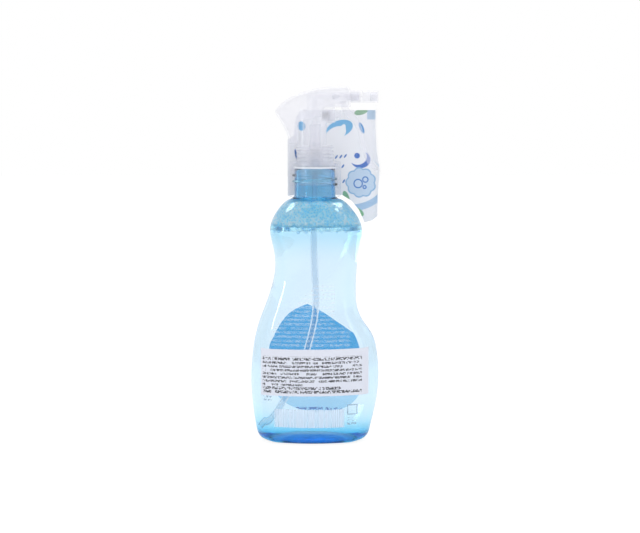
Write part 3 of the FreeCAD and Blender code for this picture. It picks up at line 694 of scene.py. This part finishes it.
# A pale panel of upright stripes near the foot.
stripes = add_node(tree, "ShaderNodeTexNoise", {"Scale": 0.9, "Detail": 3.0, "noise_dimensions": "1D"},
                   {"W": across})
bar = add_node(tree, "ShaderNodeMapRange", {"From Min": 0.5, "From Max": 0.58, "To Min": 0.62,
                                            "To Max": 0.30}, {"Value": stripes.outputs["Fac"]})
panel = calc(tree, "MULTIPLY", between(tree, across, -21.2, 15.5), between(tree, up, 10.1, 19.9))
panel_share = calc(tree, "MULTIPLY", panel, bar.outputs["Result"])
white_ink = add_node(tree, "ShaderNodeBsdfDiffuse", {"Color": linear("#F4F8FC")})
grey_ink = add_node(tree, "ShaderNodeBsdfDiffuse", {"Color": linear("#9DB4C8")})
pale_ink = add_node(tree, "ShaderNodeBsdfDiffuse", {"Color": linear("#DCEAF8")})
first = add_node(tree, "ShaderNodeMixShader", None,
                 {0: calc(tree, "MULTIPLY", text, 0.15), 1: film.outputs[0], 2: white_ink.outputs[0]})
second = add_node(tree, "ShaderNodeMixShader", None,
                  {0: panel_share, 1: first.outputs[0], 2: pale_ink.outputs[0]})
third = add_node(tree, "ShaderNodeMixShader", None,
                 {0: calc(tree, "MULTIPLY", grey, 0.45), 1: second.outputs[0], 2: grey_ink.outputs[0]})
tree.links.new(third.outputs[0], output.inputs["Surface"])
finish_piece(back_label, "bottle", white_print, "back_label")

STICKER_LOW, STICKER_HIGH = 27.1, 51.7
STICKER_LEFT, STICKER_RIGHT = -28.3, 28.2
TILT = math.radians(0.5)
sticker_outline = []
for across, up in ((STICKER_LEFT, STICKER_LOW), (STICKER_RIGHT, STICKER_LOW),
                   (STICKER_RIGHT, STICKER_HIGH), (STICKER_LEFT, STICKER_HIGH)):
    sticker_outline.append((across, up + across * math.sin(TILT)))
sticker = wrap_label("shop_sticker", sticker_outline, -1, 0.10, 0.08)
paper_label, tree, output = new_material("white paper sticker, small dark print")
across, up = face_place(tree)
up = calc(tree, "SUBTRACT", up, calc(tree, "MULTIPLY", across, math.sin(TILT)))
grain = add_node(tree, "ShaderNodeTexCoord")
fibre = add_node(tree, "ShaderNodeTexNoise", {"Scale": 700.0, "Detail": 3.0},
                 {"Vector": grain.outputs["Object"]})
lines = print_rows(tree, across, up, 28.6, 1.93, 0.62, 0.62, 0.38, 11.0)
bold = print_rows(tree, across, up, 28.6, 1.93, 0.76, 0.80, 0.36, 17.0)
heavy = calc(tree, "MAXIMUM", between(tree, up, 46.0, 48.0), between(tree, up, 28.4, 32.2))
rows = add_node(tree, "ShaderNodeMixRGB", None, {0: heavy, 1: lines, 2: bold})
field = calc(tree, "MULTIPLY", between(tree, across, -27.4, 24.6), between(tree, up, 28.4, 48.0))
short_one = calc(tree, "MULTIPLY", between(tree, up, 32.2, 34.3),
                 calc(tree, "GREATER_THAN", across, -6.5))
short_two = calc(tree, "MULTIPLY", between(tree, up, 30.3, 32.2),
                 calc(tree, "GREATER_THAN", across, 13.6))
kept = calc(tree, "SUBTRACT", field, calc(tree, "MAXIMUM", short_one, short_two))
strength = calc(tree, "MULTIPLY", calc(tree, "MULTIPLY", rows.outputs["Color"], kept), 0.92)
paper_tone = add_node(tree, "ShaderNodeMixRGB", {1: linear("#ECEFF7"), 2: linear("#E6E9F3")},
                      {0: fibre.outputs["Fac"]})
inked = add_node(tree, "ShaderNodeMixRGB", {2: linear("#14151C")},
                 {0: strength, 1: paper_tone.outputs["Color"]})
face = add_node(tree, "ShaderNodeBsdfPrincipled", {"Roughness": 0.55},
                {"Base Color": inked.outputs["Color"]})
through = add_node(tree, "ShaderNodeBsdfTranslucent", None, {"Color": inked.outputs["Color"]})
shader = add_node(tree, "ShaderNodeMixShader", {0: 0.22}, {1: face.outputs[0], 2: through.outputs[0]})
tree.links.new(shader.outputs[0], output.inputs["Surface"])
finish_piece(sticker, "bottle", paper_label, "importer_sticker")


# ---------------------------------------------------------------- inner parts
# Gasket, pump body, valve parts and suction tube, moulded or extruded in plastic, with a
# steel ball. They keep the shapes they came with; here they only get their finish.
def milky_plastic(name, colour, haze, roughness):
    """Unpigmented plastic: each face passes most light straight and scatters the rest."""
    material, tree, output = new_material(name)
    place = add_node(tree, "ShaderNodeTexCoord")
    cloud = add_node(tree, "ShaderNodeTexNoise", {"Scale": 90.0, "Detail": 3.0},
                     {"Vector": place.outputs["Object"]})
    share = add_node(tree, "ShaderNodeMapRange",
                     {"From Min": 0.3, "From Max": 0.7, "To Min": haze - 0.03,
                      "To Max": haze + 0.03}, {"Value": cloud.outputs["Fac"]})
    straight = add_node(tree, "ShaderNodeBsdfTransparent", {"Color": linear("#FEFEFF")})
    through = add_node(tree, "ShaderNodeBsdfTranslucent", {"Color": linear(colour)})
    body = add_node(tree, "ShaderNodeBsdfPrincipled",
                    {"Base Color": linear(colour), "Roughness": roughness, "IOR": 1.49})
    scatter = add_node(tree, "ShaderNodeMixShader", {0: 0.4},
                       {1: body.outputs[0], 2: through.outputs[0]})
    milky = add_node(tree, "ShaderNodeMixShader", None, {
        0: share.outputs["Result"], 1: straight.outputs[0], 2: scatter.outputs[0]})
    gloss = add_node(tree, "ShaderNodeBsdfGlossy",
                     {"Color": linear("#FFFFFF"), "Roughness": roughness})
    finish = add_node(tree, "ShaderNodeMixShader", None,
                      {0: rim_share(tree, 0.03, 0.4), 1: milky.outputs[0], 2: gloss.outputs[0]})
    tree.links.new(finish.outputs[0], output.inputs["Surface"])
    return material


def clear_plastic(name, colour, roughness, ior):
    """See-through plastic that bends light, with a faint unevenness."""
    material, tree, output = new_material(name)
    place = add_node(tree, "ShaderNodeTexCoord")
    cloud = add_node(tree, "ShaderNodeTexNoise", {"Scale": 200.0, "Detail": 2.0},
                     {"Vector": place.outputs["Object"]})
    shade = add_node(tree, "ShaderNodeMapRange",
                     {"From Min": 0.3, "From Max": 0.7, "To Min": roughness - 0.02,
                      "To Max": roughness + 0.02}, {"Value": cloud.outputs["Fac"]})
    shader = add_node(tree, "ShaderNodeBsdfPrincipled", {
        "Base Color": linear(colour), "IOR": ior, "Transmission Weight": 0.95},
        {"Roughness": shade.outputs["Result"]})
    tree.links.new(shader.outputs[0], output.inputs["Surface"])
    return material


def dress(material, *names):
    """Gives a finish to shown CAD nodes."""
    for name in names:
        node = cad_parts[name]
        node.data.materials.clear()
        node.data.materials.append(material)


def plain_material(name, first, second, scale, roughness, metal):
    """An opaque finish with a slight mottle of two near tones."""
    material, tree, output = new_material(name)
    place = add_node(tree, "ShaderNodeTexCoord")
    mottle = add_node(tree, "ShaderNodeTexNoise", {"Scale": scale, "Detail": 4.0},
                      {"Vector": place.outputs["Object"]})
    tone = add_node(tree, "ShaderNodeMixRGB", {1: linear(first), 2: linear(second)},
                    {0: mottle.outputs["Fac"]})
    shader = add_node(tree, "ShaderNodeBsdfPrincipled", {"Roughness": roughness, "Metallic": metal},
                      {"Base Color": tone.outputs["Color"]})
    tree.links.new(shader.outputs[0], output.inputs["Surface"])
    return material


natural_pp = milky_plastic("natural polypropylene, milky", "#FDFDFF", 0.17, 0.25)
soft_pe = clear_plastic("natural polyethylene, see-through", "#F2F7FC", 0.06, 1.14)
steel = plain_material("bright stainless steel", "#C9CACC", "#B4B6B9", 400.0, 0.22, 1.0)
foamed_pe = plain_material("foamed white polyethylene", "#F1F3F5", "#E4E7EA", 1500.0, 0.8, 0.0)
silicone = milky_plastic("clear silicone rubber", "#E9ECEF", 0.3, 0.4)
nylon = plain_material("white nylon mesh", "#F4F5F6", "#E6E8EA", 900.0, 0.5, 0.0)
dress(natural_pp, "pump_body", "intake_tube", "swirl_core", "foam_ring", "piston")
dress(soft_pe, "dip_tube")
dress(steel, "intake_ball")
dress(foamed_pe, "neck_gasket")
dress(silicone, "outlet_valve")
dress(nylon, "foam_screen")


# ---------------------------------------------------------------- return spring
# Stainless wire wound into an open coil inside the pump cylinder. It pushes the piston and
# the trigger back out, and closes up as they come in.
SPRING_START = 3.5            # the end that stands on the cylinder's floor
SPRING_HEIGHT = 172.8
WIRE_RADIUS = 0.24
TURNS = 3.5
start_piece()
bpy.ops.mesh.primitive_circle_add(vertices=8, radius=WIRE_RADIUS * MM,
                                  rotation=(math.pi / 2, 0, 0), location=(1.9 * MM, 0, 0))
spring = bpy.context.object
spring.name = "coil_spring"
bpy.ops.object.transform_apply(location=True, rotation=True, scale=False)
apply_modifier(spring, "SCREW", angle=2 * math.pi * TURNS, screw_offset=4.2 * MM,
               steps=int(24 * TURNS), render_steps=int(24 * TURNS), axis="Z")
bpy.ops.object.mode_set(mode="EDIT")
bpy.ops.mesh.select_all(action="SELECT")
bpy.ops.mesh.fill_holes(sides=8)
bpy.ops.mesh.select_all(action="SELECT")
bpy.ops.transform.rotate(value=math.pi / 2, orient_axis="Y", center_override=(0, 0, 0))
low, high = selected_box()
bpy.ops.transform.translate(value=(SPRING_START * MM - low.x, 0, SPRING_HEIGHT * MM))
tidy_mesh(spring)
finish_piece(spring, "sprayer", steel, "return_spring", 60)
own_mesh(spring)


# ---------------------------------------------------------------- body ribs
# Four thin moulded rings round the wide foot of the pump body, just above the collar. They
# stiffen it and are the steps seen through the hood's skirt.
RIB_LEVELS = (150.5, 152.3, 154.1, 155.9)
start_piece()
bpy.ops.mesh.primitive_torus_add(major_radius=9.5 * MM, minor_radius=0.42 * MM, major_segments=72,
                                 minor_segments=12, location=(0, 0, RIB_LEVELS[0] * MM))
ribs = bpy.context.object
ribs.name = "body_ribs"
bpy.ops.object.transform_apply(location=True, rotation=False, scale=False)
bpy.ops.object.mode_set(mode="EDIT")
for level in RIB_LEVELS[1:]:
    bpy.ops.mesh.primitive_torus_add(major_radius=9.5 * MM, minor_radius=0.42 * MM,
                                     major_segments=72, minor_segments=12,
                                     location=(0, 0, level * MM))
bpy.ops.object.mode_set(mode="OBJECT")
finish_piece(ribs, "sprayer", natural_pp)


# ---------------------------------------------------------------- screw collar
# Moulded polypropylene closure, smooth outside, that turns on the neck thread and holds
# the pump flange down on its gasket.
collar = start_ring("closure", round_row(130.2, 12.15), 96, 0.0)
for row in [round_row(130.2, 13.4), round_row(130.5, 13.7), round_row(131.0, 13.8),
            round_row(139.0, 13.8), round_row(147.6, 13.8), round_row(148.5, 13.6),
            round_row(148.9, 13.1), round_row(148.9, 9.58), round_row(147.55, 9.58),
            round_row(147.55, 12.15), round_row(140.0, 12.15)]:
    pull_ring(row)
tidy_mesh(collar)
collar_thread = raise_thread(12.3, 11.05, 135.0, 1.25, 1.3, 0.6)
join_pieces(collar, collar_thread)
thin_pp = milky_plastic("natural polypropylene, thin and clearer", "#F4F8FD", 0.06, 0.2)
finish_piece(collar, "collar", thin_pp, "screw_collar", 30)


# ---------------------------------------------------------------- hood
# One moulded polypropylene cover, 1 mm thick and open below, snapped over the pump body.
# Its roof runs down to a beak at the back and its rear skirt goes round the stem.
ROOF = [(17.2, 188.0), (8.0, 187.5), (0.5, 186.6), (-8.1, 184.2), (-13.0, 182.0), (-16.7, 179.6),
        (-19.2, 177.5), (-20.6, 175.6), (-20.4, 173.8), (-19.0, 171.4), (-16.4, 167.0),
        (-14.6, 163.3), (-13.9, 160.6), (-13.6, 158.0)]
UNDERSIDE = [(-9.0, 158.0), (-8.3, 169.6), (-1.5, 170.8), (5.6, 177.1), (18.6, 177.1)]
HOOD_HALF_WIDTH = 8.0
roof_line = smooth_line(ROOF, 4)
hood = outline_face("hood_cover", roof_line + UNDERSIDE + [(18.6, 186.6)])
thicken(hood, -HOOD_HALF_WIDTH, HOOD_HALF_WIDTH)


def select_edges(piece, wanted):
    """Selects the edges for which wanted(end, other end) holds, in millimetres."""
    bpy.ops.mesh.select_all(action="DESELECT")
    mesh = bmesh.from_edit_mesh(piece.data)
    for edge in mesh.edges:
        ends = [v.co / MM for v in edge.verts]
        edge.select_set(bool(wanted(*ends)))
    bmesh.update_edit_mesh(piece.data)


def on_hood_side(a, b):
    same_side = abs(a.y - b.y) < 0.1
    low = any(math.dist((p.x, p.z), c) < 0.05 for p in (a, b) for c in UNDERSIDE)
    return same_side and not low


def under_hood(face):
    middle = face.calc_center_median() / MM
    flat_side = abs(face.normal.y) > 0.5
    below = face.normal.z < -0.35 and middle.x > -8.9 or face.normal.x > 0.9 and middle.x < -8.0
    return not flat_side and (below or (middle.z < 158.2 and face.normal.z < -0.9))


bpy.context.view_layer.objects.active = hood
bpy.ops.object.mode_set(mode="EDIT")
bpy.ops.mesh.select_mode(type="EDGE")
select_edges(hood, on_hood_side)
bpy.ops.mesh.bevel(offset=1.5 * MM, segments=5, profile=0.5)
bpy.ops.mesh.select_all(action="DESELECT")
bpy.ops.mesh.select_mode(type="FACE")
mesh = bmesh.from_edit_mesh(hood.data)
for face in mesh.faces:
    face.select_set(under_hood(face))
bmesh.update_edit_mesh(hood.data)
bpy.ops.mesh.delete(type="FACE")
bpy.ops.mesh.select_mode(type="VERT")
bpy.ops.object.mode_set(mode="OBJECT")
for vertex in hood.data.vertices:
    behind = max(0.0, -0.009 - vertex.co.x) / 0.0125
    vertex.co.y *= 1 - 0.42 * behind ** 1.6
apply_modifier(hood, "SOLIDIFY", thickness=1.0 * MM, offset=-1.0, use_even_offset=True)
finish_piece(hood, "sprayer", natural_pp, "hood", 35)


# ---------------------------------------------------------------- trigger
# Moulded polypropylene lever, hung on the pump's two pins, that pushes the piston back.
# It is one curved lever that narrows toward its tip.
TRIGGER_FRONT = [(15.9, 180.4), (16.6, 178.4), (18.2, 175.9), (22.2, 171.4), (24.9, 165.4),
                 (26.9, 156.6), (29.6, 149.8), (33.0, 145.6)]
TRIGGER_BACK = [(31.4, 143.8), (27.2, 148.4), (24.4, 155.8), (22.3, 164.4), (19.6, 169.4),
                (15.6, 173.0), (13.4, 178.4), (13.3, 180.4)]
trigger = outline_face("trigger_lever", smooth_line(TRIGGER_FRONT, 4) + [(33.2, 144.4)]
                       + smooth_line(TRIGGER_BACK, 4))
thicken(trigger, -5.2, 5.2)
for vertex in trigger.data.vertices:
    fall = min(1.0, max(0.0, (0.172 - vertex.co.z) / 0.029))
    vertex.co.y *= 1 - 0.5 * fall
finish_piece(trigger, "trigger", natural_pp, "trigger", 35)


# ---------------------------------------------------------------- nozzle
# Square-sided moulded polypropylene cap on the outlet barrel. It turns a quarter to shut,
# and holds the foaming screen and its ring in its mouth.
NOZZLE_MIDDLE = (26.05, 0.0, 182.5)
start_piece()
bpy.ops.mesh.primitive_cube_add(size=1.0)
nozzle = bpy.context.object
nozzle.name = "nozzle"
bpy.ops.object.mode_set(mode="EDIT")
bpy.ops.transform.resize(value=(14.3 * MM, 6.4 * MM, 6.4 * MM))
bpy.ops.transform.translate(value=Vector(NOZZLE_MIDDLE) * MM)
select_edges(nozzle, lambda a, b: abs(a.x - b.x) > 10)
bpy.ops.mesh.bevel(offset=1.3 * MM, segments=5, profile=0.5)
bpy.ops.object.mode_set(mode="OBJECT")


def drill(piece, radius, start, end, middle, corners=40):
    """A round hole along X."""
    start_piece()
    bpy.ops.mesh.primitive_cylinder_add(vertices=corners, radius=radius * MM,
                                        depth=(end - start) * MM)
    bit = bpy.context.object
    bpy.ops.object.mode_set(mode="EDIT")
    bpy.ops.transform.rotate(value=math.pi / 2, orient_axis="Y", center_override=(0, 0, 0))
    bpy.ops.transform.translate(value=((start + end) / 2 * MM, middle[1] * MM, middle[2] * MM))
    bpy.ops.object.mode_set(mode="OBJECT")
    apply_modifier(piece, "BOOLEAN", operation="DIFFERENCE", object=bit, solver="EXACT")
    bpy.data.objects.remove(bit)


drill(nozzle, 2.55, 18.0, 23.9, NOZZLE_MIDDLE)
drill(nozzle, 0.4, 23.0, 26.0, NOZZLE_MIDDLE, 16)
drill(nozzle, 2.3, 25.0, 34.0, NOZZLE_MIDDLE)
apply_modifier(nozzle, "BEVEL", width=0.18 * MM, segments=2, limit_method="ANGLE",
               angle_limit=math.radians(50))
finish_piece(nozzle, "nozzle", natural_pp, "nozzle_cap", 35)


# ---------------------------------------------------------------- display sleeve
# A band of clear film slipped over the collar and the trigger, pulled flat on both sides.
# Its far side is printed in white with leaves, drops and a cloud badge; the near side is clear.
SLEEVE_REAR = 14.45
start_piece()
bpy.ops.mesh.primitive_circle_add(vertices=96, radius=SLEEVE_REAR * MM, fill_type="NGON")
sleeve = bpy.context.object
sleeve.name = "film_sleeve"
bpy.ops.object.mode_set(mode="EDIT")
bpy.ops.mesh.primitive_circle_add(vertices=48, radius=5.3 * MM, fill_type="NGON",
                                  location=(29.0 * MM, 0, 0))
bpy.ops.mesh.select_all(action="SELECT")
bpy.ops.mesh.convex_hull()
bpy.ops.mesh.select_all(action="SELECT")
bpy.ops.mesh.dissolve_limited(angle_limit=math.radians(1))
bpy.ops.mesh.select_all(action="SELECT")
bpy.ops.mesh.delete(type="ONLY_FACE")
bpy.ops.mesh.select_all(action="SELECT")
bpy.ops.transform.translate(value=(0, 0, 182.0 * MM))
reach_now, level_now = 34.3, 182.0
for level, reach_next in ((182.0, 32.2), (174.0, 32.25), (166.0, 32.3), (160.0, 32.6), (154.0, 33.0),
                          (149.0, 33.8), (144.8, 34.5), (140.0, 34.3), (130.0, 33.6), (120.0, 33.4),
                          (112.0, 33.2)):
    if level < 182.0:
        bpy.ops.mesh.extrude_region_move(
            TRANSFORM_OT_translate={"value": (0, 0, (level - level_now) * MM)})
    stretch = (reach_next + SLEEVE_REAR) / (reach_now + SLEEVE_REAR)
    bpy.ops.transform.resize(value=(stretch, 1, 1), center_override=(-SLEEVE_REAR * MM, 0, level * MM))
    reach_now, level_now = reach_next, level
bpy.ops.object.mode_set(mode="OBJECT")
apply_modifier(sleeve, "SOLIDIFY", thickness=0.09 * MM, offset=-1.0)
bpy.ops.object.mode_set(mode="EDIT")
tidy_mesh(sleeve)
EDGE = [(-16, 130.4), (14.5, 130.4), (19.5, 127.4), (23.5, 122.6), (26.4, 116), (30.5, 117.2),
        (36, 122.4), (36, 178.2), (-5.5, 178.2), (-10, 172), (-11.4, 162), (-16, 159)]
cutter = outline_face("cutter", EDGE)
thicken(cutter, -30, 30)
apply_modifier(sleeve, "BOOLEAN", operation="INTERSECT", object=cutter, solver="FAST")
bpy.data.objects.remove(cutter)
# The cut leaves the rims open between the film's two faces, so they are drawn together.
bpy.context.view_layer.objects.active = sleeve
bpy.ops.object.mode_set(mode="EDIT")
bpy.ops.mesh.select_all(action="DESELECT")
bpy.ops.mesh.select_non_manifold()
bpy.ops.mesh.remove_doubles(threshold=0.3 * MM)
bpy.ops.mesh.select_all(action="DESELECT")
bpy.ops.mesh.select_non_manifold()
bpy.ops.mesh.fill_holes(sides=8)
tidy_mesh(sleeve)

printed_film, tree, output, film = film_material("clear film, far side printed white")
place = add_node(tree, "ShaderNodeTexCoord")
split = add_node(tree, "ShaderNodeSeparateXYZ", None, {"Vector": place.outputs["Object"]})
across, up = face_place(tree)
far_side = calc(tree, "GREATER_THAN", split.outputs["Y"], 0.002)
ground = calc(tree, "MULTIPLY", far_side, between(tree, up, 110.0, 175.5))
cloud = add_node(tree, "ShaderNodeTexNoise", {"Scale": 60.0, "Detail": 2.0},
                 {"Vector": place.outputs["Object"]})
tone = add_node(tree, "ShaderNodeMixRGB", {1: linear("#F5F7FC"), 2: linear("#FCFDFF")},
                {0: cloud.outputs["Fac"]})


def blot(tree, across, up, middle, size, turn=0.0):
    """1 inside an ellipse, with its middle and half sizes in millimetres, turned in degrees."""
    along, raised = math.cos(math.radians(turn)), math.sin(math.radians(turn))
    right = calc(tree, "SUBTRACT", across, middle[0])
    above = calc(tree, "SUBTRACT", up, middle[1])
    first = calc(tree, "ADD", calc(tree, "MULTIPLY", right, along / size[0]),
                 calc(tree, "MULTIPLY", above, raised / size[0]))
    second = calc(tree, "SUBTRACT", calc(tree, "MULTIPLY", above, along / size[1]),
                  calc(tree, "MULTIPLY", right, raised / size[1]))
    square = calc(tree, "ADD", calc(tree, "MULTIPLY", first, first),
                  calc(tree, "MULTIPLY", second, second))
    return calc(tree, "LESS_THAN", square, 1.0)


def without(tree, mask, hole):
    return calc(tree, "MULTIPLY", mask, calc(tree, "SUBTRACT", 1.0, hole))


def cloud_badge(tree, across, up, middle, radius, scallops):
    """1 inside a round badge with a scalloped edge."""
    right = calc(tree, "SUBTRACT", across, middle[0])
    above = calc(tree, "SUBTRACT", up, middle[1])
    turn = calc(tree, "ARCTAN2", above, right)
    lobe = calc(tree, "ABSOLUTE", calc(tree, "SINE", calc(tree, "MULTIPLY", turn, scallops / 2)))
    edge = calc(tree, "ADD", radius - 0.9, calc(tree, "MULTIPLY", lobe, 0.9))
    square = calc(tree, "ADD", calc(tree, "MULTIPLY", right, right),
                  calc(tree, "MULTIPLY", above, above))
    return calc(tree, "LESS_THAN", calc(tree, "POWER", square, 0.5), edge)


def paint(tree, under, mask, colour):
    layer = add_node(tree, "ShaderNodeMixRGB", {2: linear(colour)}, {0: mask, 1: under})
    return layer.outputs["Color"]


BADGE = (24.4, 137.2)
art = tone.outputs["Color"]
corner = calc(tree, "MULTIPLY", between(tree, across, 27.6, 40.0), between(tree, up, 170.6, 180.0))
art = paint(tree, art, corner, "#C9DDEE")
band = without(tree, blot(tree, across, up, (14.0, 139.0), (24.0, 17.0), -12),
               blot(tree, across, up, (13.4, 141.2), (23.0, 15.6), -12))
art = paint(tree, art, calc(tree, "MULTIPLY", band, between(tree, across, 17.0, 40.0)), "#BFDBF2")
swoosh = without(tree, blot(tree, across, up, (13.0, 165.6), (7.4, 4.4), 20),
                 blot(tree, across, up, (11.0, 162.8), (6.0, 3.6), 28))
art = paint(tree, art, swoosh, "#8CCDF0")
art = paint(tree, art, blot(tree, across, up, (14.6, 164.8), (1.5, 3.4), -18), "#F7FBFE")
art = paint(tree, art, blot(tree, across, up, (-7.2, 167.0), (2.1, 2.5), 20), "#8CCBEF")
art = paint(tree, art, blot(tree, across, up, (-10.1, 152.0), (0.6, 2.8), 10), "#3F79C4")
for middle, size, turn, green in [((24.4, 174.6), (3.6, 1.6), 15, "#A9CDB4"),
                                  ((16.7, 129.0), (1.6, 3.7), 18, "#8CC8A6"),
                                  ((22.8, 121.6), (3.6, 1.9), -30, "#93CCA6")]:
    art = paint(tree, art, blot(tree, across, up, middle, size, turn), green)
art = paint(tree, art, blot(tree, across, up, (24.7, 166.1), (1.1, 3.1), 22), "#6FB4E6")
for middle in ((11.4, 150.6), (13.8, 150.8), (16.2, 151.2), (14.9, 145.7), (15.4, 137.7)):
    art = paint(tree, art, blot(tree, across, up, middle, (0.45, 1.2), -35), "#5C93D6")
crescent = without(tree, blot(tree, across, up, (24.2, 149.4), (5.2, 4.6)),
                   blot(tree, across, up, (22.6, 151.0), (4.9, 4.4)))
art = paint(tree, art, crescent, "#5A8FDB")
art = paint(tree, art, blot(tree, across, up, (22.4, 151.4), (1.5, 1.5)), "#5A8FDB")
art = paint(tree, art, cloud_badge(tree, across, up, BADGE, 8.2, 9), "#9FCBEC")
art = paint(tree, art, cloud_badge(tree, across, up, BADGE, 7.5, 9), "#D5E7F7")
for right, above, radius in ((-1.4, -0.6, 2.5), (2.4, 1.6, 1.7), (2.0, -2.4, 1.1)):
    middle = (BADGE[0] + right, BADGE[1] + above)
    ring = without(tree, blot(tree, across, up, middle, (radius, radius)),
                   blot(tree, across, up, middle, (radius - 0.6, radius - 0.6)))
    art = paint(tree, art, ring, "#4B8FDB")
white_ink = add_node(tree, "ShaderNodeBsdfDiffuse", None, {"Color": art})
lit_ink = add_node(tree, "ShaderNodeBsdfTranslucent", None, {"Color": art})
ink = add_node(tree, "ShaderNodeMixShader", {0: 0.5}, {1: white_ink.outputs[0], 2: lit_ink.outputs[0]})
covered = add_node(tree, "ShaderNodeMixShader", None,
                   {0: calc(tree, "MULTIPLY", ground, 0.78), 1: film.outputs[0], 2: ink.outputs[0]})
tree.links.new(covered.outputs[0], output.inputs["Surface"])
finish_piece(sleeve, "sprayer", printed_film, "display_sleeve", 30)
